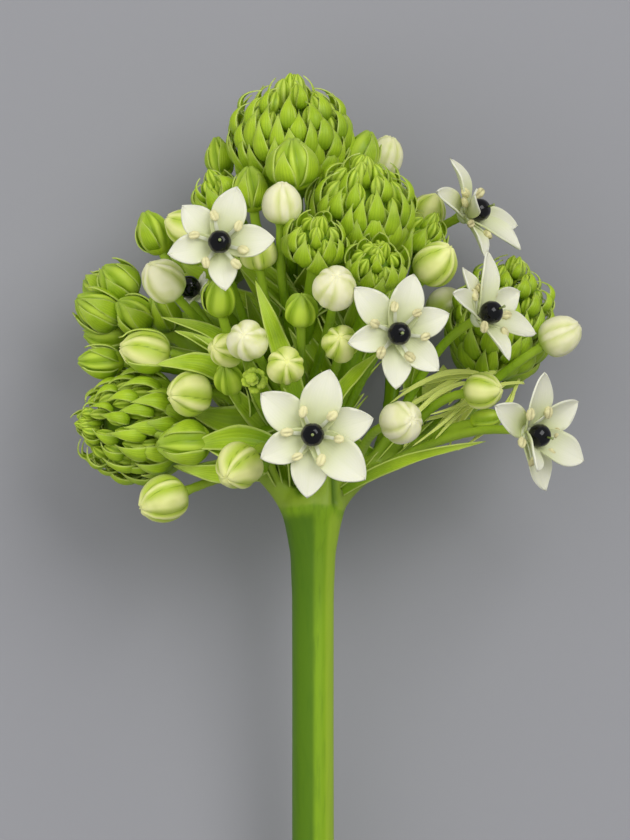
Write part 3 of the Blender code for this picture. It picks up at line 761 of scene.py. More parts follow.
@dataclass(frozen=True)
class OvarySkin:
    """Ripe ovary wall: black with a green breath at its foot, wet-looking under a clear cuticle."""

    base: str = "#07080A"
    foot: str = "#1E2612"
    dust: str = "#101213"

    def build(self) -> Material:
        """Builds the material. The grain of the wall is 0.8 mm wide, so that it shows in the gloss."""
        paint = Painter("glossy_black_ovary", "along")
        grain = paint.grain((0.8, 0.8, 0.8))
        paint.colour(self.base, [
            Blend(self.foot, Mask(paint.read[0], 0.2, 0.0), 0.8),
            Blend(self.dust, Mask(grain, 0.5, 0.8), 0.5),
        ])
        paint.relief(grain, (0.1, 0.18), grain, 0.03, 0.25)
        paint.set(Coat_Weight=0.3, Coat_Roughness=0.06, Specular_IOR_Level=0.2)
        return paint.material


@dataclass(frozen=True)
class StyleSkin:
    """Style and stigma: pale green, whitening to the moist tip."""

    base: str = "#6F7F3A"
    tip: str = "#8F9C62"

    def build(self) -> Material:
        """Builds the material."""
        paint = Painter("pale_green_style", "along")
        paint.colour(self.base, [Blend(self.tip, Mask(paint.read[0], 0.5, 0.9))])
        paint.flesh(0.25, 0.8)
        paint.set(Roughness=0.35)
        return paint.material


@dataclass(frozen=True)
class PollenSkin:
    """Anther wall dusted with pollen: dry, cream, going tan and pitted where it has opened."""

    base: str = "#F5EFB6"
    tan: str = "#BDB381"
    pit: str = "#6E6644"

    def build(self) -> Material:
        """Builds the material. The pollen grain is drawn 0.25 mm wide, several real grains at once."""
        paint = Painter("dry_pollen_anther", "across", "tone")
        across, tone = paint.read
        grain = paint.grain((0.25, 0.25, 0.25), 3.0)
        patch = paint.grain((1.1, 1.1, 1.1))
        paint.colour(self.base, [
            Blend(self.tan, (tone, Mask(patch, 0.3, 0.6)), 0.9),
            Blend(self.pit, (tone, Mask(across, 0.25, 0.0)), 0.6),
        ])
        paint.relief(grain, (0.75, 0.95), grain, 0.08, 0.8)
        paint.set(Specular_IOR_Level=0.2)
        return paint.material


@dataclass(frozen=True)
class FilamentSkin:
    """Flat white filament: waxy and slightly glassy."""

    base: str = "#E9EDCC"
    foot: str = "#C6D28C"

    def build(self) -> Material:
        """Builds the material."""
        paint = Painter("waxy_white_filament", "along")
        paint.colour(self.base, [Blend(self.foot, Mask(paint.read[0], 0.5, 0.0), 0.7)])
        paint.flesh(0.3, 0.8, (1.0, 1.0, 0.8))
        paint.set(Roughness=0.35)
        return paint.material


@dataclass(frozen=True)
class StudioPaper:
    """Matte grey paper under the flower: uncoated, with soft fibres."""

    base: str = "#9E9EA2"
    fibre: str = "#9B9B9F"

    def build(self) -> Material:
        """Builds the material. The fibre is drawn 3 mm wide, coarser than real pulp so that it shows."""
        paint = Painter("matte_grey_paper")
        paint.colour(self.base, [Blend(self.fibre, paint.grain((3, 3, 3), 4.0), 0.3)])
        paint.set(Roughness=0.9, Specular_IOR_Level=0.1)
        return paint.material


class Tissue:
    """A growing mesh of plant tissue, in millimetres, whose vertices know where on their organ they are."""

    layer_names = ("along", "across", "tone")
    spheres = {}
    weld = 1e-4

    def __init__(self) -> None:
        """Starts an empty mesh with its three attributes."""
        self.bm = bmesh.new()
        for name in self.layer_names:
            self.bm.verts.layers.float.new(name)
        self.read_layers()

    def read_layers(self) -> None:
        """Finds the three attributes again after the mesh has grown."""
        self.along, self.across, self.tone = map(self.bm.verts.layers.float.get, self.layer_names)

    def mark(self, vert: bmesh.types.BMVert, along: float, across: float, tone: float) -> None:
        """Writes a vertex's share of the way from foot to tip and from midrib to edge, and its tone."""
        vert[self.along], vert[self.across], vert[self.tone] = along, across, tone

    def blade(self, columns: int, rows: int, place: Sheet, tone: float = 0.0) -> None:
        """Adds one sheet, shaped from a grid.

        Args:
            columns: Faces across.
            rows: Faces along.
            place: Gives the point for across, from -1 to 1, and along, from 0 to 1.
            tone: The tone that its vertices carry.
        """
        grid = bmesh.ops.create_grid(self.bm, x_segments=columns, y_segments=rows, size=1)
        for vert in grid["verts"]:
            across = vert.co.x
            along = (vert.co.y + 1) / 2
            self.mark(vert, along, abs(across), tone)
            vert.co = place(across, along)
        bmesh.ops.remove_doubles(self.bm, verts=grid["verts"], dist=self.weld)

    def ball(self, around: int, rings: int, shape: Shape, tone: float = 0.0) -> list:
        """Adds one closed body, shaped from a sphere of radius 1.

        Args:
            around: Faces round its axis.
            rings: Faces from pole to pole.
            shape: Gives, for a point of the sphere, its new place and its across value.
            tone: The tone that its vertices carry.

        Returns:
            The new vertices.
        """
        start = len(self.bm.verts)
        self.bm.from_mesh(self.sphere(around, rings))
        self.bm.verts.ensure_lookup_table()
        self.read_layers()
        made = self.bm.verts[start:]
        for vert in made:
            along = (vert.co.z + 1) / 2
            place, across = shape(vert.co)
            self.mark(vert, along, across, tone)
            vert.co = place
        return made

    @classmethod
    def sphere(cls, around: int, rings: int) -> bpy.types.Mesh:
        """Gives a sphere of radius 1, made once for each number of faces.

        Args:
            around: Faces round its axis.
            rings: Faces from pole to pole.

        Returns:
            Its mesh, with the three attributes.
        """
        if (around, rings) not in cls.spheres:
            bm = bmesh.new()
            for name in cls.layer_names:
                bm.verts.layers.float.new(name)
            bmesh.ops.create_uvsphere(bm, u_segments=around, v_segments=rings, radius=1)
            cls.spheres[(around, rings)] = bpy.data.meshes.new(f"sphere_{around}_{rings}")
            bm.to_mesh(cls.spheres[(around, rings)])
            bm.free()
        return cls.spheres[(around, rings)]

    def move(self, verts: list, matrix: Matrix) -> None:
        """Puts vertices in their place."""
        bmesh.ops.transform(self.bm, matrix=matrix, verts=verts)

    def thicken(self, thickness: float) -> None:
        """Gives the sheets a back and sharp rims.

        Args:
            thickness: How far the back is behind the front, in millimetres.
        """
        self.bm.normal_update()
        made = bmesh.ops.extrude_face_region(self.bm, geom=self.bm.faces[:], use_keep_orig=True)
        verts = [item for item in made["geom"] if isinstance(item, bmesh.types.BMVert)]
        for vert in verts:
            vert.co -= vert.normal * thickness
        for edge in self.bm.edges:
            edge.smooth = edge.calc_face_angle(0) < EDGE_ANGLE

    def piece(self, name: str, material: Material, place: Matrix | None = None,
              thickness: float = 0.0) -> Object:
        """Ends the growth: makes an object at the origin, with its place in its mesh.

        Args:
            name: The object's name.
            material: Its finish.
            place: The matrix from the organ's frame to the flower's, if it isn't in it already.
            thickness: The blades' thickness in millimetres, or 0 for bodies that are closed already.

        Returns:
            The object.
        """
        if thickness:
            self.thicken(thickness)
        bmesh.ops.recalc_face_normals(self.bm, faces=self.bm.faces)
        bmesh.ops.transform(self.bm, matrix=LYING @ (place or Matrix()), verts=self.bm.verts)
        for face in self.bm.faces:
            face.smooth = True
        return new_mesh_object(name, self.bm, material)


def settle(obj: Object, slot: str, *nodes: str) -> None:
    """Lets a piece ride on the flower and stand for its nodes.

    Args:
        obj: The piece.
        slot: The record's material slot. It is not used.
        nodes: The nodes that it replaces.
    """
    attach(obj, "root")
    if nodes:
        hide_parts(*nodes)
    LOG.info("%s: %d faces, stands for %s", obj.name, len(obj.data.polygons), ", ".join(nodes) or "itself")


def press_flat(objs: tuple, give: float = 0.0022, gap: float = 0.00005) -> None:
    """Presses flat, against the surface that the flower rests on, what would reach through it.

    Args:
        objs: The finished pieces of one head.
        give: The height in metres up to which the head gives way.
        gap: The room left under it.
    """
    lowest = min(vert.co.z for obj in objs for vert in obj.data.vertices)
    if lowest >= gap:
        return
    squash = (give - gap) / (give - lowest)
    for obj in objs:
        for vert in obj.data.vertices:
            vert.co.z = give - (give - vert.co.z) * squash if vert.co.z < give else vert.co.z


class StalkMap:
    """Finds the way of every stalk, each one leaving the crown or a stalk found before it."""

    CARRIER_PULL = 0.6
    CROWN_PULL = 1.5
    STRAIGHT_START = 0.33
    STRAIGHT_END = 0.36
    CROWN_SPREAD = 3.6
    CROWN_DEPTH = 2

    def __init__(self) -> None:
        """Finds all the paths."""
        self.paths = {}
        for organ in HEADS + BLOOMS + CREAM_BUDS + YOUNG_BUDS + CLUSTER_BUDS:
            self.paths[organ.name] = self.find(organ)

    @staticmethod
    def organ_base(organ: HeadPlan | BudPlan | BloomPlan) -> tuple[Vector, Vector]:
        """Finds where a stalk joins its organ.

        Args:
            organ: The head, bud or bloom.

        Returns:
            The stalk's end, sunk a little in the organ, and the way the organ faces.
        """
        facing = Vector(organ.facing).normalized()
        if isinstance(organ, BloomPlan):
            return Vector(organ.base) + facing * SINK, facing
        sink = HEAD_SINK if isinstance(organ, HeadPlan) else SINK
        return Vector(organ.centre) - facing * (organ.length / 2 - sink), facing

    def find(self, organ: HeadPlan | BudPlan | BloomPlan) -> tuple:
        """Finds the way of a stalk from its root to its organ.

        Args:
            organ: The head, bud or bloom at its end.

        Returns:
            The four points of its curve.
        """
        end, facing = self.organ_base(organ)
        if organ.carrier == "crown":
            start = Vector((end.x, 0, end.z)).normalized() * self.CROWN_SPREAD - UP * self.CROWN_DEPTH
            leaving = UP * (self.CROWN_PULL / self.CARRIER_PULL)
        else:
            start = self.point(organ.carrier, organ.share)
            leaving = self.heading(organ.carrier, organ.share)
        reach = (end - start).length
        away = (leaving * self.CARRIER_PULL + (end - start).normalized()).normalized()
        return (
            start, start + away * (self.STRAIGHT_START * reach),
            end - facing * (self.STRAIGHT_END * reach), end,
        )

    def point(self, name: str, share: float) -> Vector:
        """Gives the point of a named stalk at a share of its curve."""
        (a, b, c, d), rest = self.paths[name], 1 - share
        return a * rest**3 + b * (3 * rest**2 * share) + c * (3 * rest * share**2) + d * share**3

    def heading(self, name: str, share: float) -> Vector:
        """Gives the direction of a named stalk at a share of its curve."""
        (a, b, c, d), rest = self.paths[name], 1 - share
        return ((b - a) * rest**2 + (c - b) * (2 * rest * share) + (d - c) * share**2).normalized()


@dataclass
class Scape:
    """The stem and all the stalks that its crown divides into, grown together in one skin.

    Pairs named branch_ are a fixed part and a share of the head's radius. The places on the crown are
    in millimetres, and those on the stem's side are turns in radians from its front.
    """

    map: StalkMap
    skin: Material
    voxel: float = 0.6
    relax_rounds: int = 6
    branch_foot: tuple = (1.7, 0.13)
    branch_end: tuple = (0.5, 0.16)
    pedicel_taper: float = 0.95
    cup_reach: float = 2.2
    cup_foot: float = 0.8
    cup_ease: float = 0.7
    spin_steps: int = 56
    ring_spacing: float = 4.0
    groove_turn: float = 0.1
    groove_drift: float = 0.0006
    groove_width: float = 0.12
    groove_depth: float = 0.05
    ridge_count: int = 9
    ridge_drift: float = 0.02
    ridge_depth: float = 0.014
    sway_depth: float = 0.02
    crown_start: float = -14
    crown_widening: float = 0.05
    crown_flattening: float = 0.1
    creases: tuple = (((-2.6, 1.1), (-5.5, 8.8)), ((5.3, -1.5), (4.6, 5.9)))
    crease_width: float = 0.8
    crease_depth: float = 1.0
    shoulders: tuple = ((-2.4, -3.6, 0.6), (4.4, 6, 1.5))
    rim_wave: float = 0.25
    rim_softness: float = 0.35
    olive_fade: tuple = (26, 6)
    tip_fade: tuple = (14, 1)
    # The turns over which painted shade darkens the stem's left side and painted light brightens its right
    # side.
    painted_shade_side: tuple = ((0.24, -0.14), (-2.6, -1.2))
    painted_light_side: tuple = ((0.45, 0.8), (2.8, 1.8))
    side_fade: float = 4
    stem_profile: tuple = (
        (-200, 0.0), (-200, 4.5), (-199.8, 4.6), (-150, 4.62), (-100, 4.68), (-50, 4.7), (-20, 4.75),
        (-11, 5.1), (-5, 6.0), (-1.2, 6.9), (0.2, 7.0), (1.6, 6.5), (3.0, 5.6), (4.4, 4.0), (5.0, 0.0),
    )

    def build(self) -> None:
        """Builds the stem and the stalks, and melts them together by a voxel remesh."""
        bm = bmesh.new()
        self.add_stem(bm)
        self.add_curves(bm)
        obj = self.melt(new_mesh_object("stalks_raw", bm))
        self.mark_places(obj)
        obj.data.transform(LYING)
        settle(obj, "stem_green", "scape")

    def add_stem(self, bm: bmesh.types.BMesh) -> None:
        """Adds the stem: its profile spun round, flattened a little at the crown, and grooved.

        Args:
            bm: The mesh to add to.
        """
        dense = []
        for (low, small), (high, large) in zip(self.stem_profile, self.stem_profile[1:]):
            steps = max(1, round((high - low) / self.ring_spacing))
            for step in range(steps):
                share = step / steps
                dense.append((low + (high - low) * share, small + (large - small) * share))
        dense.append(self.stem_profile[-1])
        verts = [bm.verts.new((radius, height, 0)) for height, radius in dense]
        edges = [bm.edges.new(pair) for pair in zip(verts, verts[1:])]
        bmesh.ops.spin(
            bm, geom=verts + edges, axis=UP, cent=(0, 0, 0), angle=math.tau, steps=self.spin_steps,
            use_merge=True,
        )
        bmesh.ops.remove_doubles(bm, verts=bm.verts, dist=Tissue.weld)
        for vert in bm.verts:
            turn = math.atan2(vert.co.x, vert.co.z)
            crown = smooth_step(self.crown_start, 0, vert.co.y)
            off_groove = turn - self.groove_turn - self.groove_drift * vert.co.y
            groove = math.exp(-(off_groove / self.groove_width) ** 2)
            ridges = 0.5 + 0.5 * math.sin(self.ridge_count * turn + self.ridge_drift * vert.co.y)
            sway = noise.noise(Vector((turn * 0.8, vert.co.y * 0.02, 3.1)))
            swell = 1 - self.groove_depth * groove - self.ridge_depth * ridges + self.sway_depth * sway
            vert.co.x *= swell * (1 + self.crown_widening * crown)
            vert.co.z *= swell * (1 - self.crown_flattening * crown)
        bmesh.ops.recalc_face_normals(bm, faces=bm.faces)

    def add_curves(self, bm: bmesh.types.BMesh) -> None:
        """Adds every stalk as a bevelled curve turned to a mesh.

        Args:
            bm: The mesh to add to.
        """
        curve = bpy.data.curves.new("stalks", "CURVE")
        curve.dimensions = "3D"
        curve.bevel_depth = 1.0
        curve.bevel_resolution = 4
        curve.resolution_u = 14
        curve.use_fill_caps = True
        paths = self.map.paths
        for head in HEADS:
            foot, end = (base + share * head.radius for base, share in (self.branch_foot, self.branch_end))
            self.add_stalk(curve, paths[head.name], foot, end)
        for organ in BLOOMS + CREAM_BUDS:
            self.add_stalk(curve, paths[organ.name], PEDICEL_RADIUS, PEDICEL_RADIUS * self.pedicel_taper)
            self.add_cup(curve, paths[organ.name])
        for organ in YOUNG_BUDS + CLUSTER_BUDS:
            self.add_stalk(curve, paths[organ.name], PEDICEL_RADIUS, PEDICEL_RADIUS)
        mesh = baked_mesh(new_object("stalks", curve))
        bm.from_mesh(mesh)
        bpy.data.meshes.remove(mesh)

    def add_stalk(self, curve: bpy.types.Curve, path: tuple, foot: float, end: float) -> None:
        """Adds one stalk, or a stretch of one.

        Args:
            curve: The curve that holds all the stalks.
            path: The four points of its way.
            foot: Its radius at its foot.
            end: Its radius at its end.
        """
        start, leaving, nearing, stop = path
        spline = curve.splines.new("BEZIER")
        spline.bezier_points.add(1)
        first, last = spline.bezier_points
        first.co, first.handle_left, first.handle_right = start, start * 2 - leaving, leaving
        last.co, last.handle_left, last.handle_right = stop, nearing, stop * 2 - nearing
        first.radius, last.radius = foot, end

    def add_cup(self, curve: bpy.types.Curve, path: tuple) -> None:
        """Adds the widened end of a stalk, which carries a bud or a bloom.

        Args:
            curve: The curve that holds all the stalks.
            path: The stalk's path.
        """
        heading = (path[3] - path[2]).normalized()
        low = path[3] - heading * self.cup_reach
        ease = heading * self.cup_ease
        self.add_stalk(curve, (low, low + ease, path[3] - ease, path[3]), self.cup_foot, CUP_RADIUS)

    def melt(self, raw: Object) -> Object:
        """Turns the overlapping bodies to one skin.

        Args:
            raw: The object to melt, in millimetres in the flower's frame.

        Returns:
            A mesh object at the origin, still in that frame.
        """
        remesh = raw.modifiers.new("skin", "REMESH")
        remesh.mode = "VOXEL"
        remesh.voxel_size = self.voxel
        remesh.use_smooth_shade = True
        relax = raw.modifiers.new("relax", "SMOOTH")
        relax.factor = 0.5
        relax.iterations = self.relax_rounds
        mesh = baked_mesh(raw)
        mesh.materials.clear()
        mesh.materials.append(self.skin)
        return new_object("stalks", mesh)

    def crease_at(self, spot: Vector) -> float:
        """Finds how near a point is to a crease between two of the crown's shoulders.

        Args:
            spot: The point.

        Returns:
            The nearness, from 0 to 1.
        """
        if spot.z < 0:
            return 0.0
        nearness = 0.0
        for low, high in self.creases:
            foot, ahead = Vector(low), Vector(high) - Vector(low)
            here = Vector((spot.x, spot.y))
            share = min(max((here - foot).dot(ahead) / ahead.length_squared, 0), 1)
            gap = (here - foot - ahead * share).length / self.crease_width
            nearness = max(nearness, math.exp(-(gap**2)) * smooth_step(1.0, 0.7, 1 - share))
        return nearness

    def rim_at(self, x: float) -> float:
        """Gives the height of the crown's rim, which dips at each shoulder and waves a little."""
        dips = [depth * smooth_step(start, end, x) for start, end, depth in self.shoulders]
        return -dips[0] - dips[1] + self.rim_wave * math.sin(1.3 * x + 0.8)

    def mark_places(self, obj: Object) -> None:
        """Writes where each vertex is, and presses in the creases.

        The tip attribute is 1 just under an organ and falls to 0 on the way down its stalk. The branch
        one is 1 just above the crown's rim. The side one runs from 1 on the stem's shaded left side to -1
        on its lit right side, for painted shade and painted light below the crown. The crease one presses
        the surface in and also paints shade into the crease.

        Args:
            obj: The melted object.
        """
        ends = [path[3] for path in self.map.paths.values()]
        tree = kdtree.KDTree(len(ends))
        for index, end in enumerate(ends):
            tree.insert(end, index)
        tree.balance()
        names = ("tip", "branch", "side", "crease")
        tip, branch, side, crease = (obj.data.attributes.new(name, "FLOAT", "POINT") for name in names)
        normals = [Vector(normal.vector) for normal in obj.data.vertex_normals]
        for index, vert in enumerate(obj.data.vertices):
            spot = vert.co
            rim = self.rim_at(spot.x)
            above = smooth_step(rim - self.rim_softness, rim + self.rim_softness, spot.y)
            turn = math.atan2(spot.x, spot.z)
            # Painted shade on the stem's left side and painted light on its right side.
            dark, light = (
                smooth_step(*start, turn) * smooth_step(*stop, turn)
                for start, stop in (self.painted_shade_side, self.painted_light_side)
            )
            tip.data[index].value = smooth_step(*self.tip_fade, tree.find(spot)[2])
            branch.data[index].value = above * smooth_step(*self.olive_fade, spot.y)
            side.data[index].value = (dark - light) * smooth_step(rim, rim - self.side_fade, spot.y)
            near = self.crease_at(spot)
            # The crease's nearness presses the surface in and paints shade into it.
            crease.data[index].value = near
            vert.co = spot - normals[index] * (near * self.crease_depth)


@dataclass
class Buds:
    """The closed buds, each with six lobes that its tepals make.

    Depths and swellings are shares of the bud's radius. The hug_ sizes are the ranges of a hugging
    bract: its length and width as shares of the bud's, how far it lifts and hooks in millimetres, how
    far it sways in radians, and how far its angle is off the plan's in degrees.
    """

    skin: Material
    bract_skin: Material
    around: int = 60
    rings: int = 30
    valley: float = 0.1
    overlap: float = 0.045
    outer_share: tuple = (0.14, 0.27)
    unevenness: tuple = (0.08, 0.2)
    pinch: tuple = (0.9, 1.1)
    twist: float = 0.2
    fullness: float = 1.05
    taper: float = 0.1
    crumple: float = 0.16
    tip_ruffle: float = 0.35
    tip_pit: float = 0.06
    hug_reach: tuple = (0.86, 1.06)
    hug_width: tuple = (0.42, 0.62)
    hug_lift: tuple = (0.1, 0.55)
    hug_hook: tuple = (0.2, 1.5)
    hug_sway: float = 0.35
    hug_scatter: float = 8
    hug_tone: float = 0.4
    hug_grid: tuple = (8, 14)

    def shape(self, plan: BudPlan, length: float) -> Shape:
        """Gives the shaping of a unit sphere to one bud.

        Args:
            plan: The bud.
            length: Its length, which for a young bud includes the part sunk in its stalk.

        Returns:
            The shape, in the bud's frame.
        """
        draw = Random("shape " + plan.name)
        start = draw.uniform(0, math.tau)
        twist = self.twist * draw.choice((-1, 1)) * draw.uniform(0.6, 1.3)
        wide = 0.5 + draw.uniform(*self.outer_share)
        uneven = draw.uniform(*self.unevenness)
        pinch = draw.uniform(*self.pinch)
        seed = draw.uniform(0, 50)
        green = plan.tone.value

        def place(point: Vector) -> tuple[Vector, float]:
            """Gives a point's place on the bud and its nearness to a seam."""
            height = point.z
            turn = math.atan2(point.y, point.x)
            lobes = (turn + uneven * math.sin(turn + start) + start + twist * height) * 3 / math.pi
            pair = (lobes + 1) % 2 - 1
            outer = abs(pair) < wide
            offset = abs(pair) / wide if outer else (1 - abs(pair)) / (1 - wide)
            fade = 1 - 0.85 * smooth_step(0.5, 1.0, -height)
            near_tip = smooth_step(0.3, 0.97, height)
            deep = self.valley * fade * (1 + 1.4 * near_tip) * pinch * (1 + 0.8 * green)
            swell = 1 - deep * offset ** (3.6 - 1.6 * green)
            swell -= self.overlap * (not outer) * fade * (1 - offset**4)
            power = 2.3 - 0.5 * green * (height > 0)
            full = (1 - abs(height) ** power) ** 0.5 if abs(height) < 1 else 0
            radius = plan.radius * self.fullness * full * swell * (1 - self.taper * height)
            tip = smooth_step(0.88, 0.985, height)
            radius *= 1 + self.tip_ruffle * tip * noise.noise(Vector((point.x * 4, point.y * 4, seed)))
            fold = noise.noise(Vector((math.cos(turn) * 1.7, math.sin(turn) * 1.7, seed + 2.5 * height)))
            radius *= 1 + self.crumple * smooth_step(0.5, 0.85, height) * fold
            crest = self.tip_pit * tip * (1 - offset) - self.tip_pit * smooth_step(0.975, 1.0, height)
            side = Vector((math.cos(turn), math.sin(turn))) * radius
            return Vector((side.x, side.y, length / 2 * (height * 0.97 + crest))), offset

        return place

    def hug_place(self, plan: BudPlan, turn: float, draw: Random) -> Sheet:
        """Gives the sheet of a bract that hugs a bud from its base to past its tip.

        Args:
            plan: The bud.
            turn: The bract's angle round it in radians.
            draw: The bud's own random draws.

        Returns:
            The sheet, in the bud's frame.
        """
        reach = draw.uniform(*self.hug_reach)
        half_width = plan.radius * draw.uniform(*self.hug_width)
        lift = draw.uniform(*self.hug_lift)
        hook = draw.uniform(*self.hug_hook)
        sway = draw.uniform(-self.hug_sway, self.hug_sway)

        def place(across: float, along: float) -> Vector:
            """Gives a point of the sheet, round the bud's own curve."""
            height = -1.0 + 2 * reach * along
            full = (1 - min(abs(height), 0.97) ** 2.3) ** 0.5
            out = plan.radius * self.fullness * full * (1 - self.taper * height)
            out += 0.15 + lift * math.sin(math.pi * along) + hook * along**5
            width = half_width * leaf_width(along, 0.6, 0.35, 0.35, 1.2)
            angle = turn + sway * along + across * width / max(out, 1.2)
            return Vector((out * math.cos(angle), out * math.sin(angle), plan.length / 2 * height))

        return place

    def build_hugs(self, name: str, plans: tuple) -> None:
        """Builds the bracts that hug some buds, as one piece.

        Args:
            name: The piece's name.
            plans: The buds.
        """
        tissue = Tissue()
        for plan in plans:
            draw = Random("hug " + plan.name)
            there = facing_matrix(plan.centre, plan.facing)
            for angle in plan.hugs:
                turn = math.radians(angle + draw.uniform(-self.hug_scatter, self.hug_scatter))
                place = self.hug_place(plan, turn, draw)
                tone = draw.uniform(0, self.hug_tone)
                tissue.blade(*self.hug_grid, lambda across, along: there @ place(across, along), tone)
        settle(tissue.piece(name, self.bract_skin, thickness=BRACT_THICKNESS), "bract_green")

    def build_buds(self, name: str, plans: tuple, slot: str, nodes: tuple = (), sunk: float = 0.0) -> None:
        """Builds some buds as one piece.

        Args:
            name: The piece's name.
            plans: The buds.
            slot: Their material slot.
            nodes: The nodes that they stand for.
            sunk: The length of the part of each that is sunk in its stalk.
        """
        tissue = Tissue()
        for plan in plans:
            shape = self.shape(plan, plan.length + sunk)
            verts = tissue.ball(self.around, self.rings, shape, plan.tone.value)
            tissue.move(verts, facing_matrix(plan.centre, plan.facing))
        settle(tissue.piece(name, self.skin), slot, *nodes)

    def build(self) -> None:
        """Builds the cream buds, one piece each, and the green ones in one piece for each place."""
        self.build_hugs("hugging_bracts", CREAM_BUDS + YOUNG_BUDS)
        self.build_hugs("cluster_bracts", CLUSTER_BUDS)
        for plan in CREAM_BUDS:
            self.build_buds(plan.name + "_tepals", (plan,), "bud_cream", (plan.name,))
        self.build_buds("young_buds", YOUNG_BUDS, "stem_green", sunk=YOUNG_BUD_SINK)
        self.build_buds("head_left_buds", CLUSTER_BUDS, "bract_green", ("head_left",))


def head_radius(share: float) -> float:
    """Gives how full a head is at a share of its height, from 0 to 1."""
    return math.sin(math.pi * share**0.75) ** 0.45 if 0 < share < 1 else 0.0


class HeadForm:
    """The outline of a head, and where along it the tips of its units stand, closer towards the top."""

    steps = 90
    lowest = 0.05
    inset = 0.94
    foot_slope = 1.1
    foot_share = 0.15

    def __init__(self, plan: HeadPlan) -> None:
        """Follows the outline from foot to pole and sums up the room that it has for units.

        Args:
            plan: The head.
        """
        taper, first = plan.habit.value[4:6]
        heights = [self.lowest + (1 - self.lowest) * step / self.steps for step in range(self.steps + 1)]
        radius = plan.radius * self.inset
        self.points = [Vector((radius * head_radius(high), plan.length * (high - 0.5))) for high in heights]
        self.reach = [0.0]
        for before, after in zip(self.points, self.points[1:]):
            self.reach.append(self.reach[-1] + (after - before).length)
        self.room = [0.0]
        for index in range(1, len(heights)):
            size = 1 - taper * self.reach[index] / self.reach[-1]
            ring = self.points[index].x + self.points[index - 1].x
            share = ring * (self.reach[index] - self.reach[index - 1]) / size**2
            self.room.append(self.room[-1] + share * (heights[index] > first))

    def tip_reach(self, share: float) -> float:
        """Finds where the tip of a unit stands.

        Args:
            share: The share of the head's units that are below it.

        Returns:
            The tip's distance along the outline.
        """
        target = share * self.room[-1]
        index = next(index for index, room in enumerate(self.room) if room >= target and room > 0)
        span = self.room[index] - self.room[index - 1]
        part = (target - self.room[index - 1]) / span
        return self.reach[index - 1] + part * (self.reach[index] - self.reach[index - 1])

    def at(self, reach: float) -> Vector:
        """Finds the point at a distance along the outline.

        Args:
            reach: The distance, below 0 for a point under the head's foot.

        Returns:
            The point: out from the axis, and up it.
        """
        if reach <= 0:
            low = self.points[0]
            return Vector((max(low.x + self.foot_slope * reach, self.foot_share * low.x), low.y + reach))
        index = next((index for index, far in enumerate(self.reach) if far >= reach), len(self.reach) - 1)
        span = self.reach[index] - self.reach[index - 1]
        return self.points[index - 1].lerp(self.points[index], (reach - self.reach[index - 1]) / span)


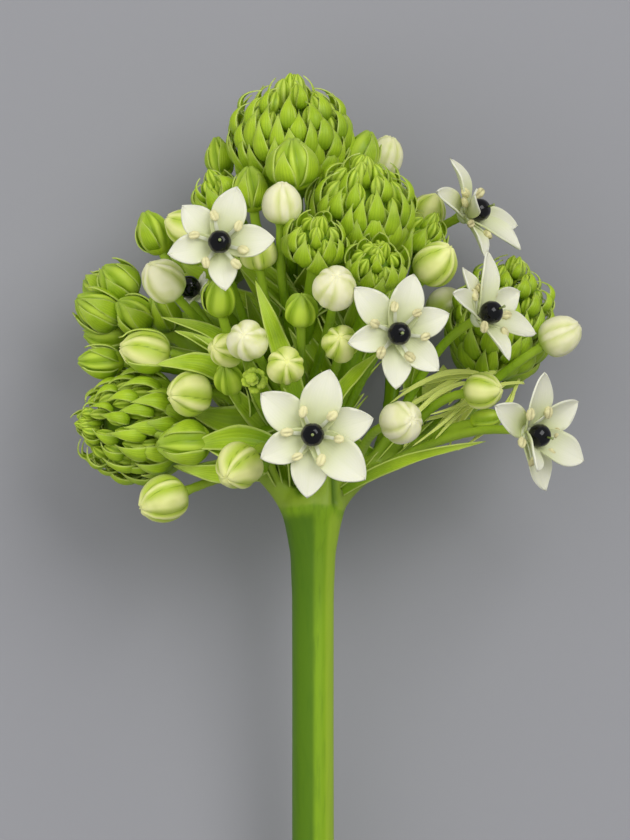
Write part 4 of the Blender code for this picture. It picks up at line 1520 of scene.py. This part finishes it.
@dataclass
class HeadUnit:
    """One bract of a head and the small ribbed bud in it, both bent along one curve.

    On the head's side the curve lies on its outline. Towards the pole it stands up from the axis, so
    that the buds' blunt tips make the dome.
    """

    plan: HeadPlan
    form: HeadForm
    share: float
    turn: float
    draw: Random
    full_radius: float = 11
    heel: float = 0.17
    claw: float = 0.3
    bud_foot: float = 0.06

    def __post_init__(self) -> None:
        """Draws the unit's own sizes and lays its curve."""
        lengths, widths, buds, stand_off = self.plan.habit.value[:4]
        self.length = self.between(lengths) * self.draw.uniform(0.88, 1.12)
        self.half_width = self.between(widths) * self.draw.uniform(0.88, 1.12)
        self.bud_radius = self.between(buds) * self.draw.uniform(0.92, 1.08)
        size = min(self.plan.radius / self.full_radius, 1)
        self.stand_off = stand_off * self.draw.uniform(0.4, 1.6)
        self.sway = self.draw.uniform(-1.1, 1.1) * size
        self.fold = self.draw.uniform(0.8, 1.1)
        self.twist = self.draw.uniform(-0.45, 0.45)
        self.thread = smooth_step(0.35, 0.85, self.share + self.draw.uniform(-0.3, 0.2))
        self.thread *= 0.55 if self.plan.habit is Habit.ARCHED else 1
        self.hook = (self.draw.uniform(-0.5, 1.4) - 1.5 * self.thread) * size
        self.tone = self.draw.uniform(0, 0.35) + 0.2 * (1 - self.share)
        self.outward, self.side = around_axis(self.turn)
        self.tiny = self.plan.habit is Habit.TINY
        self.lay_curve()

    def between(self, pair: tuple) -> float:
        """Reads a size between its values at the head's foot and at its top."""
        return pair[0] + (pair[1] - pair[0]) * self.share

    def lay_curve(self) -> None:
        """Finds the curve's foot, middle and tip, as distances out from the axis and up it."""
        reach = self.form.tip_reach(self.share)
        tip = self.form.at(reach)
        ahead = (tip - self.form.at(reach - 0.5)).normalized()
        self.upright = smooth_step(0.62, 0.15, tip.x / self.form.points[len(self.form.points) // 2].x)
        self.half_width *= 1 - 0.45 * self.upright
        foot = self.form.at(reach - self.length) - Vector((1.1, 0))
        middle = self.form.at(reach - 0.5 * self.length) + Vector((0.9, 0))
        tip += Vector((0, 0.9 * self.upright * smooth_step(0.5, 3.5, tip.x)))
        self.foot = foot.lerp(Vector((0.6 * tip.x, tip.y - self.length)), self.upright)
        self.middle = middle.lerp(Vector((tip.x + 0.4, tip.y - 0.4 * self.length)), self.upright)
        self.tip = tip + Vector((ahead.y, -ahead.x)) * self.draw.uniform(-0.5, 0.5)

    def spot(self, along: float, depth: float) -> tuple[Vector, Vector]:
        """Finds a point near the curve.

        Args:
            along: The share of the curve.
            depth: How far outside the curve it is, in millimetres.

        Returns:
            The point and the curve's outward normal there.
        """
        rest = 1 - along
        place = self.foot * rest**2 + self.middle * (2 * rest * along) + self.tip * along**2
        heading = ((self.middle - self.foot) * rest + (self.tip - self.middle) * along).normalized()
        place += Vector((heading.y, -heading.x)) * depth
        normal = self.outward * heading.y - Vector((0, 0, heading.x))
        return self.outward * place.x + Vector((0, 0, place.y)), normal

    def bract(self, across: float, along: float) -> Vector:
        """Shapes the bract's sheet: a claw with a round heel, or one that ends in a thread.

        Args:
            across: The place between its edges, from -1 to 1.
            along: The share of its length.

        Returns:
            The point in the head's frame.
        """
        rise = math.sin(min(along / self.heel, 1) * QUARTER_TURN)
        depth = 0.2 - 1.9 * (1 - rise)
        depth += self.stand_off * (1 + 0.5 * self.thread) * math.sin(math.pi * along) + self.hook * along**3
        here, normal = self.spot(along * (1 - 0.08 * self.upright), depth)
        if along < self.claw:
            width = 0.5 + 0.5 * math.sin(along / self.claw * QUARTER_TURN)
        else:
            narrowing = math.cos((along - self.claw) / (1 - self.claw) * QUARTER_TURN)
            width = max(narrowing, 0.03) ** (1.1 + 1.3 * self.thread)
        width *= self.half_width
        lateral, inward = folded(across, width, self.fold * (1 - 0.5 * along))
        keel = 0.12 * math.exp(-((across / 0.14) ** 2)) * width
        lifted = self.twist * across * width * along
        return here + self.side * (lateral + self.sway * along**3) - normal * (inward - keel - lifted)

    def bud(self, point: Vector) -> tuple[Vector, float]:
        """Shapes the small ribbed bud.

        Args:
            point: A point of the unit sphere.

        Returns:
            Its place in the head's frame, and how near a seam it is.
        """
        share = (point.z + 1) / 2
        along = self.bud_foot + (0.8 + 0.16 * self.upright) * share
        here, normal = self.spot(along, -self.bud_radius * 1.02)
        turn = math.atan2(point.y, point.x)
        lobes = turn * 3 / math.pi + 0.5
        offset = abs(lobes - math.floor(lobes + 0.5)) * 2
        full = math.sin(math.pi * min(max(share, 0), 1) ** 0.9) ** 0.5 if 0.001 < share < 0.999 else 0
        pinch = 1 - 0.3 * smooth_step(0.8, 0.95, share)
        radius = self.bud_radius * full * pinch * (1 - (0.12 if self.tiny else 0.3) * offset**1.7)
        place = here + self.side * (math.sin(turn) * radius) + normal * (math.cos(turn) * radius)
        return place, offset * (0.45 if self.tiny else 1)


@dataclass
class BractHeads:
    """The dense heads: keeled bracts in a spiral, each round a bud of its own, on a core."""

    bract_skin: Material
    bud_skin: Material
    bract_grid: tuple = (6, 12)
    bud_grid: tuple = (24, 12)
    core_grid: tuple = (24, 14)
    tip_fade: float = 0.7
    # The core's tone and seam value paint it dark green, as the shade in the gaps between the units.
    core_tone: float = 1.6
    core_height: float = 0.36
    core_seam: float = 0.9

    def add_core(self, tissue: Tissue, plan: HeadPlan) -> None:
        """Adds the green core, an egg inside the bracts, painted dark as the shade in the gaps between them.

        Args:
            tissue: The tissue to add to, in the head's frame.
            plan: The head.
        """
        def shape(point: Vector) -> tuple[Vector, float]:
            """Gives a point's place on the core."""
            height = self.core_height + self.core_height * point.z
            out = plan.radius * plan.habit.value[6] * max(head_radius(height), 0.3)
            return on_ring(point, out * (1 - point.z**8), plan.length * (height - 0.5)), self.core_seam

        tissue.ball(*self.core_grid, shape, self.core_tone)

    def build_head(self, plan: HeadPlan) -> None:
        """Builds one head: its bracts, and its core with the buds that they hold.

        Args:
            plan: The head.
        """
        draw = Random("bracts " + plan.name)
        form = HeadForm(plan)
        blades = Tissue()
        inside = Tissue()
        self.add_core(inside, plan)
        for index in range(plan.units):
            share = min(max((index + draw.uniform(-0.3, 0.3)) / (plan.units - 1), 0), 1)
            unit = HeadUnit(plan, form, share, index * GOLDEN_ANGLE + draw.uniform(-0.1, 0.1), draw)
            if not unit.tiny:
                blades.blade(*self.bract_grid, unit.bract, unit.tone)
            for vert in inside.ball(*self.bud_grid, unit.bud, draw.uniform(0.82, 1.0)):
                vert[inside.along] *= self.tip_fade
        place = facing_matrix(plan.centre, plan.facing)
        buds = inside.piece(plan.name + "_inner_buds", self.bud_skin, place)
        if plan.habit is Habit.TINY:
            settle(buds, "bract_green", plan.name)
            return
        bracts = blades.piece(plan.name + "_bracts", self.bract_skin, place, BRACT_THICKNESS)
        press_flat((buds, bracts))
        settle(buds, "bract_green")
        settle(bracts, "bract_green", plan.name)

    def build(self) -> None:
        """Builds all the heads."""
        for plan in HEADS:
            if plan.habit is not Habit.BUDDED:
                self.build_head(plan)


@dataclass
class LooseBracts:
    """The long thin bracts that stand on the branches, those among the stalks, and the pedicels' own.

    The foot_ sizes are those of a bract at the foot of a pedicel, and the inner_ ones those of a bract
    among the stalks. A pair is the range that a size is drawn from.
    """

    map: StalkMap
    skin: Material
    long_grid: tuple = (8, 22)
    short_grid: tuple = (6, 14)
    long_waves: tuple = (2.0, 3.0)
    long_ruffle: float = 0.12
    long_cup: float = 0.42
    foot_length: tuple = (13, 20)
    foot_longest: float = 0.62
    foot_width: tuple = (1.3, 2.0)
    foot_flare: tuple = (1.0, 3.2)
    foot_sway: float = 1.4
    foot_fold: float = 0.8
    inner_count: int = 90
    inner_centre: tuple = (0, 37, 0)
    inner_room: tuple = (36, 27, 24)
    inner_length: float = 24
    inner_drop: float = 9
    inner_width: tuple = (1.6, 2.9)
    inner_bow: tuple = (0.02, 0.13)
    inner_cup: float = 0.45
    bare_corner: tuple = (12, 36)

    def long_place(self, plan: BractPlan, draw: Random) -> Sheet:
        """Gives the sheet of one long bract.

        Args:
            plan: The bract.
            draw: Its own random draws.

        Returns:
            The sheet.
        """
        start = Vector(plan.start)
        ahead = Vector(plan.end) - start
        over, side = square_to(ahead, Vector(plan.facing))
        wave = draw.uniform(*self.long_waves)

        def place(across: float, along: float) -> Vector:
            """Gives a point of the sheet, bowed, cupped and ruffled at its edges."""
            bow = plan.bow * math.sin(math.pi * along**0.8) * ahead.length
            width = plan.half_width * leaf_width(along, 0.75, 0.3, 0.3, 0.9)
            edge = self.long_ruffle * math.sin(wave * math.tau * along + 2 * across) * across**2
            cup = self.long_cup * width * across**2
            bend = plan.bend * math.sin(math.pi * along**0.9)
            return (start + ahead * along + over * (bow + cup + edge * width)
                    + side * (across * width + bend))

        return place

    def foot_place(self, name: str, draw: Random) -> Sheet:
        """Gives the sheet of the bract at the foot of a pedicel, lying along it and flaring away.

        Args:
            name: The pedicel's organ.
            draw: Its own random draws.

        Returns:
            The sheet.
        """
        path = self.map.paths[name]
        span = min(draw.uniform(*self.foot_length) / (path[3] - path[0]).length, self.foot_longest)
        half_width = draw.uniform(*self.foot_width)
        outward = Vector((path[0].x, 0, path[0].z)) + (path[3] - path[0]) * 0.05
        outward += Vector((draw.uniform(-1, 1), 0, draw.uniform(-1, 1)))
        flare = draw.uniform(*self.foot_flare)
        sway = draw.uniform(-self.foot_sway, self.foot_sway)

        def place(across: float, along: float) -> Vector:
            """Gives a point of the sheet, folded round the pedicel."""
            share = 0.02 + span * along
            over, side = square_to(self.map.heading(name, share), outward)
            width = half_width * leaf_width(along, 0.8, 0.3, 0.25, 1.1)
            lateral, inward = folded(across, width, self.foot_fold)
            lift = PEDICEL_RADIUS * 0.95 + flare * along**2 - inward
            return self.map.point(name, share) + over * lift + side * (lateral + sway * along**3)

        return place

    def inner_place(self, starts: list, draw: Random) -> tuple[Sheet, float]:
        """Gives the sheet of a bract among the stalks.

        Args:
            starts: The points of the branches that it may grow from.
            draw: The random draws of all such bracts.

        Returns:
            The sheet, and its tone, deeper the further in it is, as painted shade among the stalks.
        """
        level, turn = draw.random() ** 0.6, draw.uniform(0, math.tau)
        height = draw.uniform(-0.75, 0.85)
        around = (1 - height * height) ** 0.5 * level
        wide, tall, deep = self.inner_room
        end = Vector(self.inner_centre)
        end += Vector((wide * around * math.cos(turn), tall * height, deep * around * math.sin(turn)))
        if end.x > self.bare_corner[0] and end.y < self.bare_corner[1]:
            end.x *= -1

        def unfitness(spot: Vector) -> float:
            """Tells how far a start is from the usual length, and from standing low enough."""
            off_length = abs((end - spot).length - self.inner_length)
            return off_length + 0.8 * max(spot.y - end.y + self.inner_drop, 0) * 3

        start = min(starts, key=unfitness)
        ahead = end - start
        over = Vector((draw.uniform(-0.7, 0.7), draw.uniform(-0.2, 0.4), 1 if end.z > -6 else -1))
        over, side = square_to(ahead, over)
        half_width = draw.uniform(*self.inner_width)
        bow = draw.uniform(*self.inner_bow) * ahead.length

        def place(across: float, along: float) -> Vector:
            """Gives a point of the sheet, bowed and cupped."""
            width = half_width * leaf_width(along, 0.6, 0.35, 0.35, 1.1)
            arch = bow * math.sin(math.pi * along) + self.inner_cup * width * across**2
            return start + ahead * along + over * arch + side * (across * width)

        # Painted shade: the further in among the stalks, the deeper the tone.
        return place, 0.35 + 0.6 * (1 - level)

    def build(self) -> None:
        """Builds the bracts, one piece for each kind of place they grow in."""
        tissues = {name: Tissue() for name in ("long_bracts", "pedicel_bracts", "inner_bracts")}
        for index, plan in enumerate(LONG_BRACTS + STRANDS):
            place = self.long_place(plan, Random(f"long bract {index}"))
            tissues["long_bracts"].blade(*self.long_grid, place, plan.tone)
        for organ in BLOOMS + CREAM_BUDS + YOUNG_BUDS:
            draw = Random("foot bract " + organ.name)
            place = self.foot_place(organ.name, draw)
            tissues["pedicel_bracts"].blade(*self.short_grid, place, draw.uniform(0, 0.5))
        draw = Random("inner bracts")
        starts = [self.map.point(head.name, share / 20) for head in HEADS for share in range(2, 13)]
        for _ in range(self.inner_count):
            place, tone = self.inner_place(starts, draw)
            tissues["inner_bracts"].blade(*self.short_grid, place, tone)
        for name, tissue in tissues.items():
            settle(tissue.piece(name, self.skin, thickness=BRACT_THICKNESS), "stem_green")


@dataclass
class Blooms:
    """The open blooms: tepals, stamens, and the black ovary with its style."""

    tepal_skin: Material
    filament_skin: Material
    pollen_skin: Material
    ovary_skin: Material
    style_skin: Material
    tepal_grid: tuple = (12, 18)
    tepal_thickness: float = 0.38
    tepal_widest: float = 0.52
    tepal_claw: float = 0.42
    tepal_arch: float = 0.7
    tepal_midrib: float = 0.05
    tepal_ruffle: float = 0.12
    receptacle_grid: tuple = (24, 10)
    filament_grid: tuple = (4, 8)
    filament_thickness: float = 0.32
    filament_foot: float = 1.7
    filament_half_width: float = 0.2
    filament_height: tuple = (2.0, 2.9)
    anther: tuple = (1.0, 1.4, 0.85)
    anther_grid: tuple = (16, 12)
    ovary_grid: tuple = (36, 24)
    ovary_lobe: float = 0.035
    ovary_dimple: float = 0.22
    style_grid: tuple = (14, 14)
    style_length: float = 1.9
    style_radius: float = 0.22
    stigma_swell: float = 0.12

    def tepal_place(self, entry: tuple, whorl: float, plan: BloomPlan, draw: Random) -> Sheet:
        """Gives the sheet of one tepal.

        Args:
            entry: Its angle, length and lift.
            whorl: The height of its whorl on the receptacle.
            plan: Its bloom.
            draw: The bloom's own random draws.

        Returns:
            The sheet, in the bloom's frame.
        """
        angle, length, lift = entry
        rise = math.radians(lift)
        outward, side = around_axis(math.radians(angle))
        half_width = TEPAL_HALF_WIDTH * length / TEPAL_LENGTH * draw.uniform(0.94, 1.0) * plan.fullness
        twist = draw.uniform(-0.12, 0.12)
        curl = draw.uniform(-0.2, 0.5)
        wave = draw.uniform(0, math.tau)
        lean = draw.uniform(-0.3, 0.3)

        def place(across: float, along: float) -> Vector:
            """Gives a point of the sheet: broad in the middle, cupped, arched and a little ruffled."""
            share = 0.03 + 0.97 * along
            if share < self.tepal_widest:
                swell = math.sin(share / self.tepal_widest * QUARTER_TURN) ** 0.9
                width = self.tepal_claw + (1 - self.tepal_claw) * swell
            else:
                width = max(math.sin((1 - share) / (1 - self.tepal_widest) * QUARTER_TURN), 0.0) ** 0.78
            width *= half_width
            reach = length * share
            height = whorl + reach * math.sin(rise)
            height += self.tepal_arch * math.sin(math.pi * min(share * 1.1, 1))
            height += curl * max(share - 0.6, 0) ** 2 * length
            height += plan.cup * width * across**2 - self.tepal_midrib * math.exp(-((across / 0.14) ** 2))
            height += twist * across * width * share
            height += self.tepal_ruffle * math.sin(3.5 * math.pi * share + wave) * across**3
            lateral = across * width * (1 - 0.35 * plan.cup * plan.cup)
            return (outward * (reach * math.cos(rise)) + side * (lateral + lean * share**2)
                    + Vector((0, 0, height)))

        return place

    def build_perianth(self, plan: BloomPlan, place: Matrix) -> None:
        """Builds the tepals of one bloom, and the white cushion under them, stamens and ovary.

        Args:
            plan: The bloom.
            place: The matrix from its frame to the flower's.
        """
        def cushion(point: Vector) -> tuple[Vector, float]:
            """Gives a point's place on the cushion, which widens to its flat top."""
            height = (point.z + 1) / 2
            radius = CUP_RADIUS + (RECEPTACLE_RADIUS - CUP_RADIUS) * height
            return on_ring(point, radius * (1 - abs(point.z) ** 6) ** 0.5, RECEPTACLE_HEIGHT * height), 0.5

        draw = Random("tepals " + plan.name)
        tissue, receptacle = Tissue(), Tissue()
        for index, entry in enumerate(plan.tepals):
            tissue.blade(*self.tepal_grid, self.tepal_place(entry, WHORL_HEIGHTS[index % 2], plan, draw))
        tepals = tissue.piece("tepals_" + plan.name, self.tepal_skin, place, self.tepal_thickness)
        settle(tepals, "tepal_white", "perianth_" + plan.name)
        receptacle.ball(*self.receptacle_grid, cushion)
        settle(receptacle.piece("receptacle_" + plan.name, self.filament_skin, place), "tepal_white")

    def filament_place(self, turn: float, reach: float, top: float) -> Sheet:
        """Gives the sheet of one filament, broad at its foot and narrow under its anther.

        Args:
            turn: Its angle round the ovary in radians.
            reach: How far from the bloom's axis it ends.
            top: How high above the receptacle it ends.

        Returns:
            The sheet, in the bloom's frame.
        """
        outward, side = around_axis(turn)

        def place(across: float, along: float) -> Vector:
            """Gives a point of the sheet, cupped a little."""
            width = self.filament_half_width * (1 - along) ** 0.8 + self.filament_half_width
            out = self.filament_foot + (reach - self.filament_foot) * along
            height = RECEPTACLE_HEIGHT - 0.5 + (top + 0.5) * along**0.75 - 0.25 * across**2 * width
            return outward * out + side * (across * width) + Vector((0, 0, height))

        return place

    def add_anther(self, tissue: Tissue, spot: Vector, turn: float, draw: Random, tone: float) -> None:
        """Adds one anther: two pollen sacs side by side with a groove between them.

        Args:
            tissue: The tissue to add to, in the bloom's frame.
            spot: Its centre.
            turn: Its angle round the ovary in radians.
            draw: The bloom's own random draws.
            tone: How far it has opened.
        """
        size = Vector(self.anther) * draw.uniform(0.92, 1.1)

        def shape(point: Vector) -> tuple[Vector, float]:
            """Gives a point's place on the two sacs, and how far it is from their groove."""
            groove = math.exp(-((point.x / 0.3) ** 2))
            knob = 0.9 + 0.16 * abs(math.cos(1.5 * math.pi * point.y))
            x = point.x * size.x * knob
            z = point.z * size.z * (1 - 0.5 * groove * (1 if point.z > 0 else 0.3))
            return Vector((x, point.y * size.y, z)), abs(point.x)

        verts = tissue.ball(*self.anther_grid, shape, tone)
        spin = Matrix.Rotation(turn - QUARTER_TURN + draw.uniform(-0.7, 0.7), 4, "Z")
        tip = Euler((draw.uniform(-0.5, 0.7), draw.uniform(-0.5, 0.5), 0)).to_matrix().to_4x4()
        tissue.move(verts, Matrix.Translation(spot) @ spin @ tip)

    @staticmethod
    def stamen_angles(plan: BloomPlan) -> list[float]:
        """Places the stamens between the tepals.

        Args:
            plan: The bloom.

        Returns:
            Six angles in degrees, with two in the gap that a lost tepal leaves.
        """
        turns = sorted(entry[0] for entry in plan.tepals)
        gaps = [(after - turn, turn) for turn, after in zip(turns, turns[1:] + [turns[0] + 360])]
        widest = max(gaps)
        angles = []
        for gap, turn in gaps:
            shares = (0.36, 0.74) if len(turns) < 6 and (gap, turn) == widest else (0.5,)
            angles.extend(turn + gap * share for share in shares)
        return angles

    def build_stamens(self, plan: BloomPlan, place: Matrix) -> None:
        """Builds the stamens of one bloom.

        Args:
            plan: The bloom.
            place: The matrix from its frame to the flower's.
        """
        draw = Random("stamens " + plan.name)
        filaments, anthers = Tissue(), Tissue()
        foot = self.filament_foot
        for angle in self.stamen_angles(plan):
            turn = math.radians(angle + draw.uniform(-4, 4))
            reach = foot + (STAMEN_REACH * draw.uniform(0.94, 1.06) - foot) * plan.spread
            top = draw.uniform(*self.filament_height) * plan.spread
            filaments.blade(*self.filament_grid, self.filament_place(turn, reach, top))
            spot = Vector((reach * math.cos(turn), reach * math.sin(turn), RECEPTACLE_HEIGHT + top + 0.2))
            self.add_anther(anthers, spot, turn, draw, plan.pollen * draw.uniform(0.6, 1.3))
        white = filaments.piece("filaments_" + plan.name, self.filament_skin, place, self.filament_thickness)
        settle(white, "tepal_white")
        settle(anthers.piece("anthers_" + plan.name, self.pollen_skin, place), "tepal_white")

    def build_ovary(self, plan: BloomPlan, place: Matrix) -> None:
        """Builds the black ovary with six faint lobes, and the style in the dimple on its top.

        Args:
            plan: The bloom.
            place: The matrix from its frame to the flower's.
        """
        seat = RECEPTACLE_HEIGHT + SEAT_GAP + OVARY_RADIUS

        def ovary_shape(point: Vector) -> tuple[Vector, float]:
            """Gives a point's place on the ovary."""
            turn = math.atan2(point.y, point.x)
            lobe = 1 - self.ovary_lobe * (1 - abs(math.cos(3 * turn))) ** 2 * (1 - point.z**4)
            dimple = self.ovary_dimple * math.exp(-((1 - point.z) / 0.035)) if point.z > 0 else 0
            out = point * OVARY_RADIUS
            return Vector((out.x * lobe, out.y * lobe, out.z * 0.99 - dimple + seat)), 0.0

        def style_shape(point: Vector) -> tuple[Vector, float]:
            """Gives a point's place on the style, which swells to the stigma."""
            height = (point.z + 1) / 2
            radius = self.style_radius + self.stigma_swell * smooth_step(0.7, 0.9, height)
            radius = radius if height < 0.97 else 0.2
            return on_ring(point, radius, seat + OVARY_RADIUS - 0.5 + self.style_length * height), 0.0

        ovary, style = Tissue(), Tissue()
        ovary.ball(*self.ovary_grid, ovary_shape)
        settle(ovary.piece("berry_" + plan.name, self.ovary_skin, place), "ovary_black", "ovary_" + plan.name)
        style.ball(*self.style_grid, style_shape)
        settle(style.piece("style_" + plan.name, self.style_skin, place), "tepal_white")

    def build(self) -> None:
        """Builds all the blooms."""
        for plan in BLOOMS:
            place = facing_matrix(plan.base, plan.facing)
            self.build_perianth(plan, place)
            if plan.spread > 0:
                self.build_stamens(plan, place)
            self.build_ovary(plan, place)


@dataclass(frozen=True)
class SoftBox:
    """One square soft light: its place in metres from the head, its width, its power and its glint."""

    name: str
    place: tuple
    width: float
    power: float
    glints: bool = True


@dataclass
class Studio:
    """The floor, the soft lights and the camera, which looks down on the lying flower."""

    aim: tuple = (0.44, 18.7, 20)
    distance: float = 1900
    view_width: float = 138.6
    sensor_width: float = 36
    floor_size: float = 3.0
    head: tuple = (0, 30, 10)
    key: SoftBox = SoftBox("key", (0.55, 0.46, 1.08), 0.8, 8.3)
    fill: SoftBox = SoftBox("fill", (-0.75, 0.0, 1.0), 1.9, 9.2, False)
    sky: str = "#E6E7EA"
    sky_strength: float = 0.46

    def build(self) -> None:
        """Builds floor, lights and camera."""
        self.build_floor()
        self.add_light(self.key)
        self.add_light(self.fill)
        self.build_sky()
        self.build_camera()

    def build_floor(self) -> None:
        """Lays the paper that the flower rests on."""
        bm = bmesh.new()
        bmesh.ops.create_grid(bm, x_segments=2, y_segments=2, size=self.floor_size)
        new_mesh_object("paper", bm, StudioPaper().build())

    def add_light(self, box: SoftBox) -> None:
        """Adds one soft box that faces the flower's head.

        Args:
            box: The light.
        """
        light = bpy.data.lights.new(box.name, "AREA")
        light.shape = "RECTANGLE"
        light.size = light.size_y = box.width
        light.energy = box.power
        obj = new_object(box.name, light)
        target = LYING @ Vector(self.head)
        obj.location = target + Vector(box.place)
        obj.rotation_euler = (target - obj.location).to_track_quat("-Z", "Y").to_euler()
        obj.visible_glossy = box.glints

    def build_sky(self) -> None:
        """Adds the even grey light of the room."""
        world = bpy.data.worlds.new("studio")
        world.use_nodes = True
        background = world.node_tree.nodes["Background"]
        background.inputs["Color"].default_value = linear(self.sky)
        background.inputs["Strength"].default_value = self.sky_strength
        bpy.context.scene.world = world

    def build_camera(self) -> None:
        """Sets the camera square to the flower, with a long lens, the stem's foot out of the frame."""
        data = bpy.data.cameras.new("camera")
        data.sensor_fit = "HORIZONTAL"
        data.sensor_width = self.sensor_width
        data.lens = self.sensor_width * self.distance / self.view_width
        data.clip_end = 20
        camera = new_object("camera", data)
        camera.location = LYING @ (Vector(self.aim) + Vector((0, 0, self.distance)))
        camera.rotation_euler = Matrix.Rotation(TILT, 4, "X").to_euler()
        bpy.context.scene.camera = camera


def main() -> None:
    """Builds the studio and every part of the flower, in order."""
    logging.basicConfig(level=logging.INFO, format="%(message)s")
    bpy.context.scene.view_settings.view_transform = "Standard"
    Studio().build()
    stalks = StalkMap()
    bract_skin = BractSkin().build()
    bud_skin = BudSkin().build()
    Scape(stalks, StemSkin().build()).build()
    LooseBracts(stalks, bract_skin).build()
    BractHeads(bract_skin, bud_skin).build()
    Buds(bud_skin, bract_skin).build()
    Blooms(
        TepalSkin().build(), FilamentSkin().build(), PollenSkin().build(), OvarySkin().build(),
        StyleSkin().build(),
    ).build()


if __name__ == "__main__":
    main()
